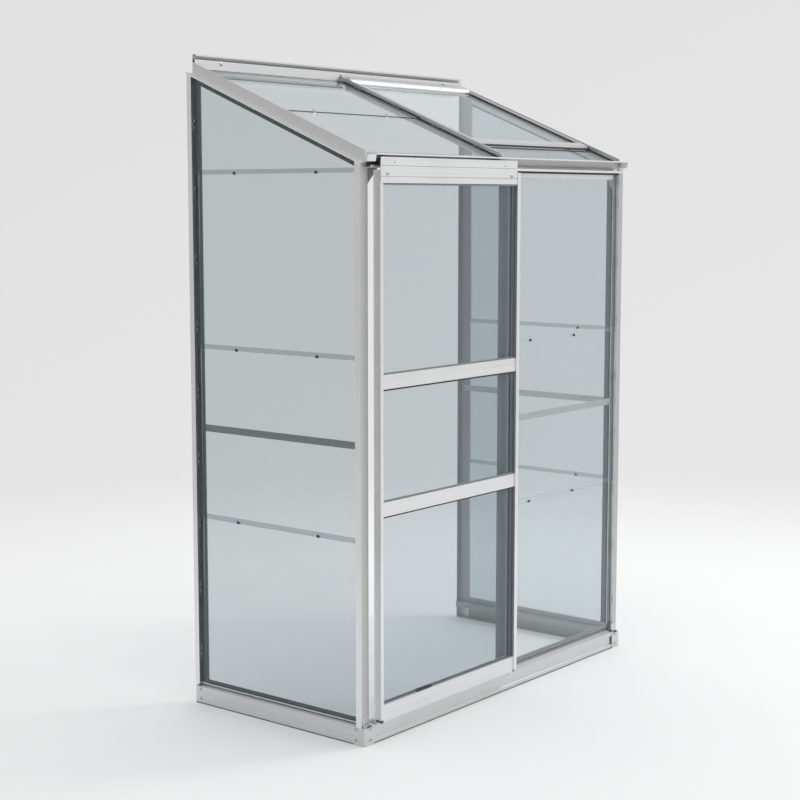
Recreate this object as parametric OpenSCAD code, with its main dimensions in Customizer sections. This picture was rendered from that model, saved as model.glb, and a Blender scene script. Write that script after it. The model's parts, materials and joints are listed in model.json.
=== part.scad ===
// Lean-to glass greenhouse: aluminium frame bolted to a wall, lapped glass sheets,
// a sliding door hung from the eaves gutter and a roof vent.
// Corner frame used inside the modules: x from the left side, y from the front face of
// the base towards the wall, z up from the ground. placed() moves it to the part's origin.

/* [Overall] */
// Width over the roof bars, left to right
width = 1320; // [1100:1:1600]
// Front face of the base to the wall
base_depth = 651; // [540:1:790]
// Height of the wall bar's top edge
ridge_height = 1883; // [1560:1:2270]
// Roof pitch, degrees
roof_pitch = 22.1; // [15:0.1:28]
// How far the gutter lip stands in front of the base
gutter_overhang = 24.5; // [24:0.1:40]

/* [Base] */
// Height of the base sills
sill_h = 58; // [50:1:80]
// Width of the base sills
sill_w = 30; // [26:1:40]
// Height of the vertical outer face of a side sill, below its bevel
sill_face_h = 50; // [40:1:50]
// Height of the guide lip on the front sill
lip_h = 54; // [50:0.5:58]
// Depth of the groove along the front sill
sill_groove = 4; // [2:0.5:6]
// Height of the side glass's seat above a side sill
side_upstand = 16; // [8:1:25]
// Height of the front glass's seat above the front sill
front_upstand = 20; // [8:1:25]
// Thickness of the corner brackets
bracket_t = 2; // [1.5:0.1:3]
// Length of each leg of a corner bracket
bracket_leg = 40; // [30:1:60]

/* [Profiles] */
// Wall thickness of the aluminium profiles
wall = 2; // [1.4:0.1:2.5]
// How far the side faces of the posts sit inside the overall width
edge_inset = 2.5; // [2.5:0.1:5]
// Distance from the base's front face to the posts' front face
post_setback = 11; // [10:0.5:16]
// Depth of the front posts' outer side flange
post_side_flange = 20; // [16:1:30]
// Width of the left front post's front flange, from the overall width
left_post_w = 33; // [28:1:45]
// Width of the right front post, from the overall width
right_post_w = 24; // [22:1:40]
// Depth of the wall posts' outer side flange
wall_post_flange = 15; // [12:1:25]
// Width of the wall posts' face against the wall
wall_post_w = 30; // [26:1:45]
// Width of the glass seat on the wall posts
wall_post_seat = 29; // [15:1:40]
// Width of the door post
door_post_w = 33; // [26:1:45]
// Distance from the middle of the width to the middle of the door post
door_post_shift = 7; // [0:1:20]
// Width of the glass seat beside the front pane
front_seat_w = 14; // [10:1:20]
// Height of the brace rails' lower edge above the ground
brace_z = 811; // [700:1:900]
// Height of the brace rails
brace_h = 20; // [16:1:30]
// Length of the gussets' equal legs
gusset_leg = 64; // [40:1:90]

/* [Roof] */
// Height of the wall bar
wall_bar_h = 51.5; // [46:0.5:70]
// Width of the end roof bars' outer flange
end_flange_w = 27; // [22:1:35]
// Height of the roof bars above their lower plane, square to the slope
bar_h = 29; // [20:0.5:35]
// Height of the glass seat above the same plane
seat_level = 12; // [8:0.5:15]
// Width of the glass seat on each side of a roof bar
roof_seat_w = 15; // [10:1:20]
// Depth of the side glass's seat under an end roof bar
gable_seat_h = 12; // [8:0.5:20]
// Depth of the middle roof bar's stem below the plane
stem_h = 6; // [0:1:20]
// Height of the gutter's lip above its floor
gutter_h = 35; // [33:0.5:45]
// Width of the gutter's floor
trough_w = 31; // [25:1:45]
// Distance from the base's front face to the lap in the left roof glass
roof_lap_y = 325; // [200:1:420]
// Distance from the base's front face to the vent's lower edge
vent_y = 128; // [110:1:250]
// Width of the vent's side frames
vent_stile_w = 16; // [14:1:25]
// Height of the vent's side frames
vent_stile_h = 14; // [12:0.5:20]
// Depth of the vent's bottom rail along the slope
vent_rail_w = 26; // [18:1:35]
// Radius of the vent's rounded top rail
vent_cap_r = 20; // [15:0.5:24]

/* [Glass] */
// Glass thickness
glass_t = 3; // [3:0.5:4]
// Usual height of one glass sheet
sheet_h = 508; // [400:1:620]
// Overlap of two sheets
lap = 13; // [10:1:20]
// Height of the lowest sheet above the sill
glass_foot = 5; // [2:0.5:8]
// Distance from the overall width to the side glass seat
side_glass_in = 15; // [14:0.5:20]
// Distance from the posts' front face to the front glass seat
front_glass_in = 15; // [14:0.5:20]

/* [Door] */
// Distance from the left side to the door's left edge
door_x = 48; // [40:1:60]
// Width of the door's right edge flange, beyond the glass
door_lip_w = 15; // [10:1:20]
// Width of the door's left edge strip
door_strip_w = 12; // [8:1:20]
// Depth of the door's side frames
door_depth = 20; // [18:0.5:24]
// Gap between the door's back and the posts
door_gap = 11; // [6:0.5:14]
// Width of the glass seat in the door's side frames
door_seat_w = 18; // [12:1:25]
// Height of the door header plate
header_h = 68; // [50:1:90]
// Height of the door's middle rails
rail_h = 39; // [30:1:60]
// Height of the lower middle rail's centre
lower_rail_z = 646.5; // [450:0.5:800]
// Height of the upper middle rail's centre
upper_rail_z = 991.5; // [850:0.5:1100]
// Height of the door's bottom rail
bottom_rail_h = 47; // [35:1:70]
// Door rail face set back from the edge strips' face
rail_recess = 3; // [2:0.5:5]
// Clear height between the front sill's lip and the door
door_foot = 6; // [5:0.5:10]
// Radius of the roller in its groove
roller_r = 8.5; // [7:0.1:10]
// Height of the roller's rims above its groove
roller_rim = 2.5; // [2:0.1:3]
// Width of the roller
roller_w = 8; // [6:0.5:9]
// Distance from the header's ends to the rollers
roller_inset = 52; // [40:1:90]
// Running clearance of the rollers and guides
running_gap = 0.8; // [0.3:0.1:1]
// Length of each floor guide
guide_len = 25; // [15:1:50]

/* [Wall fixings] */
// Diameter of the wall fixing holes
fixing_d = 6; // [4:0.5:8]
// Distance from the middle hole to the outer holes of the wall bar
fixing_pitch = 529; // [350:1:600]
// Height of the wall bar's holes below its top edge
fixing_drop = 22; // [18:0.5:30]
// Height of the wall posts' lowest hole
post_fixing_z = 250; // [150:1:400]
// Spacing of the wall posts' three holes
post_fixing_pitch = 600; // [400:1:650]

/* [Hidden] */

$fn = 48;
ALUMINIUM = [0.80, 0.81, 0.81];
GLASS = [0.72, 0.82, 0.84, 0.35];
NYLON = [0.15, 0.15, 0.16];

seat_gap = 0.3;
edge_gap = 0.5;
roof_rise = tan(roof_pitch);
middle = width / 2;
far = ridge_height * 2;

// Height at y of the plane that lies level millimetres above the roof bars' underside
function roof_z(y, level = 0) = eaves_z + y * roof_rise + level / cos(roof_pitch);

eaves_z = ridge_height - wall_bar_h - base_depth * roof_rise;
gutter_z = eaves_z - 7;
gutter_top = gutter_z + gutter_h;
sill_front = bracket_t;
sill_side = edge_inset + bracket_t;
sill_inner = sill_side + sill_w;
post_face = post_setback;
post_side_back = post_face + post_side_flange;
front_seat = post_face + front_glass_in;
side_web = post_side_back - wall - 8;
rear_web = base_depth - wall_post_flange;
door_post_x = middle + door_post_shift - door_post_w / 2;
door_post_right = door_post_x + door_post_w;
pane_left = door_post_right - wall;
pane_right = width - right_post_w;
gutter_left = end_flange_w;
gutter_right = width - end_flange_w;

glass_z = sill_h + glass_foot;
glass_top = gutter_z - 2;
sheets = max(1, round((glass_top - glass_z - lap) / (sheet_h - lap)));
sheet_pitch = (glass_top - glass_z - lap) / sheets;
lap_step = glass_t + 0.2;
side_seat_front = post_side_back + edge_gap;
side_seat_back = rear_web - wall_post_seat - edge_gap;
pane_seat_left = pane_left + front_seat_w + wall + edge_gap;
pane_seat_right = pane_right - front_seat_w - edge_gap;
side_glass_front = side_web + wall + edge_gap;
side_glass_back = rear_web - wall - edge_gap;

door_back = post_face - door_gap;
door_front = door_back - door_depth;
door_web_right = door_post_right - 5;
door_right = door_web_right + door_lip_w;
door_seat = door_front + 13;
door_face = door_front + rail_recess;
door_z = lip_h + door_foot;
header_z = gutter_z - 42;
header_right = door_web_right - 5;
stile_z = door_z + 6;
stile_top = gutter_z - 8;
door_glass_left = door_x + wall + edge_gap;
door_glass_right = door_web_right - edge_gap;
door_inner_left = door_x + wall + door_seat_w;
door_inner_right = door_web_right - door_seat_w;
door_glass_top = header_z + 20;
door_glass_z = door_z + bottom_rail_h - 19;

track_y = door_front + 15;
track_top = gutter_z + 4.5;
roller_z = track_top + seat_gap + roller_r;

vent_left = middle + 8;
vent_right = width - end_flange_w - 3;
vent_stile_y = vent_y + vent_rail_w * cos(roof_pitch);
vent_top_y = base_depth - 12;
vent_cap_y = vent_top_y - 15;
vent_level = seat_level + seat_gap;
vent_glass_level = vent_level + wall + seat_gap;

// Moves the corner frame so that the origin is under the middle of the whole part
module placed() {
    translate([-width / 2, (gutter_overhang - base_depth) / 2, 0]) children();
}

// A flat outline in y and z, run along x
module along_x(x0, x1) {
    translate([x0, 0, 0]) rotate([90, 0, 90]) linear_extrude(x1 - x0) children();
}

// A flat outline in x and z, run along y
module along_y(y0, y1) {
    translate([0, y1, 0]) rotate([90, 0, 0]) linear_extrude(y1 - y0) children();
}

// A flat outline in x and y, run along z
module along_z(z0, z1) {
    translate([0, 0, z0]) linear_extrude(z1 - z0) children();
}

// A rectangle from its low corner to its high corner
module rect(low, high) {
    translate(low) square([high[0] - low[0], high[1] - low[1]]);
}

// A strip that follows the roof slope between two levels, seen from the side
module slope_strip(y0, y1, level0, level1) {
    polygon([
        [y0, roof_z(y0, level0)], [y1, roof_z(y1, level0)],
        [y1, roof_z(y1, level1)], [y0, roof_z(y0, level1)]
    ]);
}

// Everything above the roof bars' underside, for cutting the posts
module above_roof() {
    along_x(-1, width + 1)
        polygon([[-far, roof_z(-far)], [far, roof_z(far)], [far, far + roof_z(far)], [-far, far + roof_z(far)]]);
}

// Mirrors a left piece to the right side
module right_side() {
    translate([width, 0, 0]) mirror([1, 0, 0]) children();
}

// ---- base ----

module side_sill() {
    bevel = 12;
    along_y(side_seat_front, side_seat_back)
        rect([side_glass_in, sill_h - wall - 0.5], [side_glass_in + wall, sill_h + side_upstand]);
    along_y(sill_front, base_depth) translate([sill_side, 0]) polygon([
        [0, 0], [sill_w - 6, 0], [sill_w - 6, wall], [wall, wall], [wall, sill_face_h - 1],
        [bevel + 0.5, sill_h - wall], [sill_w - wall, sill_h - wall], [sill_w - wall, sill_h - 20],
        [sill_w, sill_h - 20], [sill_w, sill_h], [bevel, sill_h], [0, sill_face_h]
    ]);
}

module front_sill() color(ALUMINIUM) placed() {
    slope_z = lip_h - 6.5;
    flat_y = sill_w - 10;
    inner_y = sill_groove + wall;
    along_x(sill_inner, width - sill_inner) translate([sill_front, 0]) polygon([
        [0, 0], [0, 12], [sill_groove, 15], [sill_groove, slope_z - 9], [0, slope_z - 7], [0, lip_h],
        [wall, lip_h], [wall, slope_z], [flat_y, sill_h], [sill_w, sill_h], [sill_w, sill_h - 20],
        [sill_w - wall, sill_h - 20], [sill_w - wall, sill_h - wall], [flat_y + 0.6, sill_h - wall],
        [inner_y, slope_z], [inner_y, 14], [wall, 11], [wall, wall], [sill_w - 6, wall], [sill_w - 6, 0]
    ]);
    along_x(pane_seat_left, pane_seat_right)
        rect([front_seat, sill_h - wall / 2], [front_seat + wall, sill_h + front_upstand]);
}

module left_sill() color(ALUMINIUM) placed() side_sill();

module right_sill() color(ALUMINIUM) placed() right_side() side_sill();

module front_bracket() {
    along_z(0, sill_face_h) union() {
        rect([edge_inset, 0], [edge_inset + bracket_leg, bracket_t]);
        rect([edge_inset, 0], [edge_inset + bracket_t, bracket_leg]);
    }
}

module front_left_bracket() color(ALUMINIUM) placed() front_bracket();

module front_right_bracket() color(ALUMINIUM) placed() right_side() front_bracket();

// Angle inside the rear end of a side sill, against the wall
module rear_bracket() {
    inner_x = sill_side + wall;
    along_z(wall, sill_face_h - 4) union() {
        rect([inner_x, base_depth - bracket_leg], [inner_x + bracket_t, base_depth]);
        rect([inner_x, base_depth - bracket_t], [sill_inner - wall - edge_gap, base_depth]);
    }
}

module rear_left_bracket() color(ALUMINIUM) placed() rear_bracket();

module rear_right_bracket() color(ALUMINIUM) placed() right_side() rear_bracket();

// ---- posts ----

// Seat and web that hold the side glass, shared by both front posts
module side_glass_seat() {
    rect([edge_inset, side_web], [side_glass_in + wall, side_web + wall]);
    rect([side_glass_in, side_web], [side_glass_in + wall, post_side_back]);
}

// Cuts a front post's top to the roof bar above it and to the gutter beside it
module front_post_top_cut() {
    above_roof();
    along_z(gutter_z - wall - seat_gap, far)
        rect([gutter_left - seat_gap, -1], [middle, front_seat - seat_gap]);
    along_z(gutter_z, far) rect([gutter_left - seat_gap, -1], [middle, base_depth]);
}

module front_left_post() color(ALUMINIUM) placed() difference() {
    union() {
        along_z(sill_h, far / 2) union() {
            rect([edge_inset, post_face], [left_post_w, post_face + wall]);
            rect([left_post_w - wall, post_face], [left_post_w, front_seat + wall]);
            rect([side_glass_in, side_web], [left_post_w, side_web + wall]);
            side_glass_seat();
        }
        along_z(sill_face_h, far / 2)
            rect([edge_inset, post_face], [edge_inset + wall, post_side_back]);
    }
    front_post_top_cut();
}

module front_right_post() color(ALUMINIUM) placed() right_side() difference() {
    union() {
        along_z(sill_h, far / 2) union() {
            rect([edge_inset, post_face], [right_post_w, post_face + wall]);
            rect([right_post_w - wall, post_face], [right_post_w, front_seat + wall]);
            rect([right_post_w - wall, front_seat], [right_post_w + front_seat_w - wall, front_seat + wall]);
            rect([side_glass_in, side_web], [right_post_w, side_web + wall]);
            side_glass_seat();
        }
        along_z(sill_face_h, far / 2)
            rect([edge_inset, post_face], [edge_inset + wall, post_side_back]);
    }
    front_post_top_cut();
}

module door_post() color(ALUMINIUM) placed() along_z(sill_h, gutter_z - wall) union() {
    rect([door_post_x, post_face], [door_post_right, post_face + wall]);
    rect([door_post_x, post_face], [door_post_x + wall, post_face + 9]);
    rect([pane_left, post_face], [door_post_right, front_seat + wall]);
    rect([pane_left, front_seat], [pane_left + front_seat_w + wall, front_seat + wall]);
}

module wall_post() {
    difference() {
        along_z(sill_h, far / 2) union() {
            rect([edge_inset, rear_web], [edge_inset + wall, base_depth]);
            rect([edge_inset, base_depth - wall], [wall_post_w, base_depth]);
            rect([edge_inset, rear_web - wall], [side_glass_in + wall, rear_web]);
            rect([side_glass_in, rear_web - wall_post_seat], [side_glass_in + wall, base_depth]);
        }
        above_roof();
        for (i = [0 : 2])
            translate([(side_glass_in + wall + wall_post_w) / 2, 0, post_fixing_z + i * post_fixing_pitch])
                rotate([-90, 0, 0]) cylinder(d = fixing_d, h = far);
    }
}

module left_wall_post() color(ALUMINIUM) placed() wall_post();

module right_wall_post() color(ALUMINIUM) placed() right_side() wall_post();

// ---- braces and gussets ----

module side_brace() {
    along_y(side_web + wall + 1, rear_web - wall - 1) translate([side_glass_in + wall, brace_z])
        square([wall, brace_h]);
}

module left_brace() color(ALUMINIUM) placed() side_brace();

module right_brace() color(ALUMINIUM) placed() right_side() side_brace();

module front_brace() color(ALUMINIUM) placed()
    along_x(pane_left + 1, pane_right + 1) translate([front_seat + wall, brace_z])
        square([wall, brace_h]);

// Triangle under the gutter, behind the post whose inner edge is at x
module gusset(x) {
    inner = side_glass_in + 2 * wall;
    along_y(front_seat + wall, front_seat + 2 * wall) polygon([
        [inner, gutter_z], [inner, gutter_z - gusset_leg], [x, gutter_z - gusset_leg],
        [x + gusset_leg, gutter_z]
    ]);
}

module left_gusset() color(ALUMINIUM) placed() gusset(left_post_w);

module right_gusset() color(ALUMINIUM) placed() right_side() gusset(right_post_w);

// ---- gutter, wall bar and roof bars ----

module eaves_gutter() color(ALUMINIUM) placed() {
    tip = -gutter_overhang;
    floor_front = track_y + 21;
    floor_back = floor_front + trough_w;
    wall_top = floor_front - 14;
    corner = 4;
    along_x(gutter_left, gutter_right) union() {
        // top lip with a turned-down edge
        rect([tip, gutter_top - wall], [wall_top + wall, gutter_top]);
        rect([tip, gutter_top - 4], [tip + wall, gutter_top]);
        // sloping front wall
        polygon([
            [floor_front, gutter_z], [floor_front + wall, gutter_z + wall],
            [wall_top + wall, gutter_top], [wall_top, gutter_top - wall]
        ]);
        // door track and floor
        rect([track_y - wall / 2, gutter_z - wall], [floor_front + wall, gutter_z]);
        rect([track_y - wall / 2, gutter_z - wall], [track_y + wall / 2, track_top]);
        rect([floor_front, gutter_z - wall], [floor_front + wall, gutter_z + wall]);
        rect([floor_front, gutter_z], [floor_back, gutter_z + wall]);
        // back wall and glass ledge
        polygon([
            [floor_back - wall - corner, gutter_z + wall / 2], [floor_back, gutter_z + wall / 2],
            [floor_back, roof_z(floor_back, seat_level - 1.5 * wall)],
            [floor_back - wall, roof_z(floor_back - wall, seat_level - 1.5 * wall)],
            [floor_back - wall, gutter_z + wall + corner], [floor_back - wall - corner, gutter_z + wall]
        ]);
        slope_strip(floor_back - wall, floor_back + 10, seat_level - 2 * wall, seat_level - wall);
    }
    // flange that holds the front glass, between its two side seats
    along_x(pane_seat_left, pane_seat_right)
        rect([front_seat, gutter_z - 22], [front_seat + wall, gutter_z + wall / 2]);
}

module wall_bar() color(ALUMINIUM) placed() difference() {
    face = base_depth - 10;
    back = base_depth - wall;
    band_z = ridge_height - 40;
    band_top = ridge_height - 14;
    along_x(gutter_left, gutter_right) union() {
        rect([back, ridge_height - wall_bar_h], [base_depth, ridge_height]);
        rect([base_depth - 14, ridge_height - wall], [base_depth, ridge_height]);
        rect([base_depth - 14, ridge_height - 5], [base_depth - 14 + wall, ridge_height]);
        rect([face, band_z], [face + wall, band_top]);
        rect([face, band_z], [base_depth, band_z + wall]);
        polygon([
            [face, band_top - 1], [face + wall, band_top - wall], [back + 1, band_top + 3],
            [back + 1, band_top + 6]
        ]);
        slope_strip(base_depth - 26, base_depth - 1, seat_level - 2 * wall, seat_level - wall);
    }
    for (i = [-1 : 1])
        translate([middle + i * fixing_pitch, 0, ridge_height - fixing_drop])
            rotate([-90, 0, 0]) cylinder(d = fixing_d, h = far);
}

module end_roof_bar() {
    foot = post_face;
    head = base_depth - wall;
    along_x(0, end_flange_w) slope_strip(foot, head, 0, wall);
    along_x(end_flange_w - wall, end_flange_w) slope_strip(foot, head, 0, bar_h);
    along_x(end_flange_w - wall, end_flange_w + roof_seat_w)
        slope_strip(foot + 13, base_depth - 11, seat_level - wall, seat_level);
    along_x(side_glass_in, side_glass_in + wall)
        slope_strip(side_seat_front, side_seat_back, -gable_seat_h, wall / 2);
}

module left_roof_bar() color(ALUMINIUM) placed() end_roof_bar();

module right_roof_bar() color(ALUMINIUM) placed() right_side() end_roof_bar();

module middle_roof_bar() color(ALUMINIUM) placed() {
    foot = post_face + 13;
    head = base_depth - 11;
    cap_w = 5;
    along_x(middle - wall / 2, middle + wall / 2) slope_strip(foot, head, seat_level - wall, bar_h);
    along_x(middle - roof_seat_w, middle + roof_seat_w)
        slope_strip(foot, head, seat_level - wall, seat_level);
    along_x(middle - cap_w, middle + cap_w) slope_strip(foot, head, bar_h - wall, bar_h);
    along_x(middle - wall / 2, middle + wall / 2)
        slope_strip(post_face + 55, base_depth - 28, -stem_h, seat_level - wall);
}

// ---- glass ----

// One lapped sheet seen from its edge: its foot stands lap_step outside its head
module leaning_sheet(seat, z0, z1) {
    polygon([
        [seat - glass_t - lap_step, z0], [seat - lap_step, z0], [seat, z1], [seat - glass_t, z1]
    ]);
}

module side_glass() {
    gable_z = glass_z + sheets * sheet_pitch;
    along_y(side_glass_front, side_glass_back)
        for (i = [0 : sheets - 1])
            leaning_sheet(side_glass_in, glass_z + i * sheet_pitch, glass_z + (i + 1) * sheet_pitch + lap);
    along_x(side_glass_in - glass_t - lap_step, side_glass_in - lap_step) polygon([
        [side_glass_front, gable_z], [side_glass_back, gable_z],
        [side_glass_back, roof_z(side_glass_back) - edge_gap],
        [side_glass_front, roof_z(side_glass_front) - edge_gap]
    ]);
}

module left_glass() color(GLASS) placed() side_glass();

module right_glass() color(GLASS) placed() right_side() side_glass();

module front_glass() color(GLASS) placed()
    along_x(door_post_right + edge_gap, pane_right - edge_gap)
        for (i = [0 : sheets - 1])
            leaning_sheet(front_seat, glass_z + i * sheet_pitch, glass_z + (i + 1) * sheet_pitch + lap);

module roof_glass() color(GLASS) placed() {
    lap_run = lap * cos(roof_pitch);
    top_y = base_depth - 11;
    along_x(end_flange_w + edge_gap, middle - wall / 2 - edge_gap) union() {
        slope_strip(post_face + 13, roof_lap_y + lap_run, seat_level, seat_level + glass_t);
        polygon([
            [roof_lap_y, roof_z(roof_lap_y, seat_level + lap_step)],
            [top_y, roof_z(top_y, seat_level)],
            [top_y, roof_z(top_y, seat_level + glass_t)],
            [roof_lap_y, roof_z(roof_lap_y, seat_level + lap_step + glass_t)]
        ]);
    }
}

module eaves_glass() color(GLASS) placed()
    along_x(middle + wall / 2 + edge_gap, width - end_flange_w - edge_gap)
        slope_strip(post_face + 13, vent_stile_y - 2, seat_level, seat_level + glass_t);

// ---- roof vent ----

module vent_top_rail() color(ALUMINIUM) placed() {
    // Drawn in a frame turned to the slope, whose origin lies on the seat plane
    translate([0, vent_cap_y, roof_z(vent_cap_y, vent_level)]) rotate([roof_pitch, 0, 0])
        along_x(vent_left, vent_right) union() {
            difference() {
                intersection() {
                    circle(r = vent_cap_r);
                    rect([-vent_cap_r, 0], [0, vent_cap_r]);
                }
                circle(r = vent_cap_r - wall);
            }
            rect([-vent_cap_r - 8, 0], [-vent_cap_r + wall, wall]);
            rect([-0.1, vent_cap_r - wall], [10, vent_cap_r]);
            rect([-vent_cap_r + wall - 0.5, 0], [10, wall]);
        }
}

// Channel that opens towards the glass, standing on the roof bar's seat
module vent_stile(x, inward) {
    level1 = vent_level + vent_stile_h;
    top_y = vent_cap_y - (vent_cap_r + 9) * cos(roof_pitch);
    web = inward > 0 ? x : x - wall;
    bottom_w = 10;
    along_x(web, web + wall) slope_strip(vent_stile_y, top_y, vent_level, level1);
    for (part = [[vent_stile_w, level1 - wall], [bottom_w, vent_level]])
        along_x(min(x, x + inward * part[0]), max(x, x + inward * part[0]))
            slope_strip(vent_stile_y, top_y, part[1], part[1] + wall);
}

module vent_left_stile() color(ALUMINIUM) placed() vent_stile(vent_left, 1);

module vent_right_stile() color(ALUMINIUM) placed() vent_stile(vent_right, -1);

// Box section over the head of the short pane below the vent
module vent_bottom_rail() color(ALUMINIUM) placed() {
    level0 = seat_level + glass_t + edge_gap;
    level1 = vent_level + vent_stile_h;
    along_x(vent_left, vent_right) difference() {
        slope_strip(vent_y, vent_stile_y, level0, level1);
        slope_strip(vent_y + wall, vent_stile_y - wall, level0 + wall, level1 - wall);
    }
}

module vent_glass() color(GLASS) placed()
    along_x(vent_left + wall + edge_gap, vent_right - wall - edge_gap)
        slope_strip(vent_stile_y + edge_gap, vent_cap_y - (vent_cap_r + 3) * cos(roof_pitch),
                    vent_glass_level, vent_glass_level + glass_t);

// ---- sliding door ----

module door_header() color(ALUMINIUM) placed() {
    plate_back = door_front;
    plate_front = door_front - wall;
    header_top = header_z + header_h;
    web_z = door_glass_top + edge_gap;
    along_x(door_x, header_right) union() {
        rect([plate_front, header_z], [plate_back, header_top]);
        rect([plate_front, header_top - wall], [plate_back + 8, header_top]);
    }
    along_x(door_inner_left + edge_gap, door_inner_right - edge_gap) union() {
        rect([plate_front, web_z], [door_seat + wall, web_z + wall]);
        rect([door_seat, header_z - 4], [door_seat + wall, web_z + wall]);
    }
}

module door_left_stile() color(ALUMINIUM) placed() along_z(stile_z, stile_top) union() {
    rect([door_x, door_front], [door_x + wall, door_back]);
    rect([door_x, door_front], [door_x + door_strip_w, door_front + wall]);
    rect([door_x, door_seat], [door_inner_left, door_seat + wall]);
    rect([door_x, door_back - wall], [door_x + 10, door_back]);
}

module door_right_stile() color(ALUMINIUM) placed() along_z(stile_z, stile_top) union() {
    rect([door_web_right, door_front], [door_web_right + wall, door_back]);
    rect([door_web_right, door_front], [door_right, door_front + wall]);
    rect([door_inner_right, door_seat], [door_web_right + wall, door_seat + wall]);
    rect([door_web_right - 8, door_back - wall], [door_web_right + wall, door_back]);
}

// Rail whose face runs from side to side, with a slot for glass above and below
module middle_rail(z) {
    lip_back = door_seat - glass_t - seat_gap;
    along_x(door_x + wall, door_web_right) union() {
        rect([door_face, z - rail_h / 2], [door_face + wall, z + rail_h / 2]);
        rect([door_face, z + rail_h / 2 - wall], [lip_back, z + rail_h / 2]);
        rect([door_face, z - rail_h / 2], [lip_back, z - rail_h / 2 + wall]);
    }
    along_x(door_inner_left + edge_gap, door_inner_right - edge_gap) union() {
        rect([door_face, z - wall / 2], [door_seat + wall, z + wall / 2]);
        rect([door_seat, z - 12], [door_seat + wall, z + 12]);
    }
}

module door_upper_rail() color(ALUMINIUM) placed() middle_rail(upper_rail_z);

module door_lower_rail() color(ALUMINIUM) placed() middle_rail(lower_rail_z);

module door_bottom_rail() color(ALUMINIUM) placed() {
    rail_top = door_z + bottom_rail_h;
    web_z = door_glass_z - edge_gap - wall;
    along_x(door_x + wall, door_web_right) union() {
        rect([door_face, door_z], [door_face + wall, rail_top]);
        rect([door_face, rail_top - wall], [door_seat - glass_t - seat_gap, rail_top]);
    }
    along_x(door_inner_left + edge_gap, door_inner_right - edge_gap) union() {
        rect([door_face, web_z], [door_seat + wall, web_z + wall]);
        rect([door_seat, web_z], [door_seat + wall, rail_top + 7]);
    }
    along_x(door_x + wall, door_web_right) rect([door_face, door_z], [door_seat, door_z + wall]);
}

module door_pane(z0, z1) {
    along_x(door_glass_left, door_glass_right)
        rect([door_seat - glass_t, z0], [door_seat, z1]);
}

rail_gap = wall / 2 + edge_gap;

module door_upper_glass() color(GLASS) placed()
    door_pane(upper_rail_z + rail_gap, door_glass_top);

module door_middle_glass() color(GLASS) placed()
    door_pane(lower_rail_z + rail_gap, upper_rail_z - rail_gap);

module door_lower_glass() color(GLASS) placed()
    door_pane(door_glass_z, lower_rail_z - rail_gap);

// Grooved wheel on an axle that stands out from the back of the header
module roller(x) {
    rim_w = (roller_w - wall) / 2 - running_gap;
    translate([x, track_y, roller_z]) rotate([90, 0, 0]) {
        translate([0, 0, -roller_w / 2]) cylinder(r = roller_r, h = roller_w);
        for (side = [-1, 1])
            translate([0, 0, side * (roller_w - rim_w) / 2 - rim_w / 2])
                cylinder(r = roller_r + roller_rim, h = rim_w);
        cylinder(r = 2.5, h = track_y - door_front);
    }
}

module door_left_roller() color(NYLON) placed() roller(door_x + roller_inset);

module door_right_roller() color(NYLON) placed() roller(header_right - roller_inset);

// Nylon shoe under the door that straddles the front sill's lip
module guide(x) {
    lip_front = sill_front - running_gap;
    lip_back = sill_front + wall + running_gap;
    back_leg = 1.1;
    along_x(x, x + guide_len) union() {
        rect([door_face, door_z - 4], [lip_back + back_leg, door_z]);
        rect([lip_front - 3, lip_h - 4], [lip_front, door_z]);
        rect([lip_back, lip_h - 4], [lip_back + back_leg, door_z]);
    }
}

module door_left_guide() color(NYLON) placed() guide(door_x + wall);

module door_right_guide() color(NYLON) placed() guide(door_web_right - guide_len);

front_sill();
left_sill();
right_sill();
front_left_bracket();
front_right_bracket();
rear_left_bracket();
rear_right_bracket();
front_left_post();
front_right_post();
door_post();
left_wall_post();
right_wall_post();
left_brace();
right_brace();
front_brace();
left_gusset();
right_gusset();
eaves_gutter();
wall_bar();
left_roof_bar();
middle_roof_bar();
right_roof_bar();
left_glass();
right_glass();
front_glass();
roof_glass();
eaves_glass();
vent_top_rail();
vent_left_stile();
vent_right_stile();
vent_bottom_rail();
vent_glass();
door_header();
door_left_stile();
door_right_stile();
door_upper_rail();
door_lower_rail();
door_bottom_rail();
door_upper_glass();
door_middle_glass();
door_lower_glass();
door_left_roller();
door_right_roller();
door_left_guide();
door_right_guide();
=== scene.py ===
"""Looks of a lean-to glass greenhouse: aluminium bars, lapped glass, a sliding door and its small fittings.

Lengths are millimetres from the front left corner of the base, x to the right, y towards the wall and z up,
unless a name or docstring says otherwise. The frame and the finished meshes are in metres.
"""

import json
import logging
import math
import random
from dataclasses import dataclass, field
from enum import Enum

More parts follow.
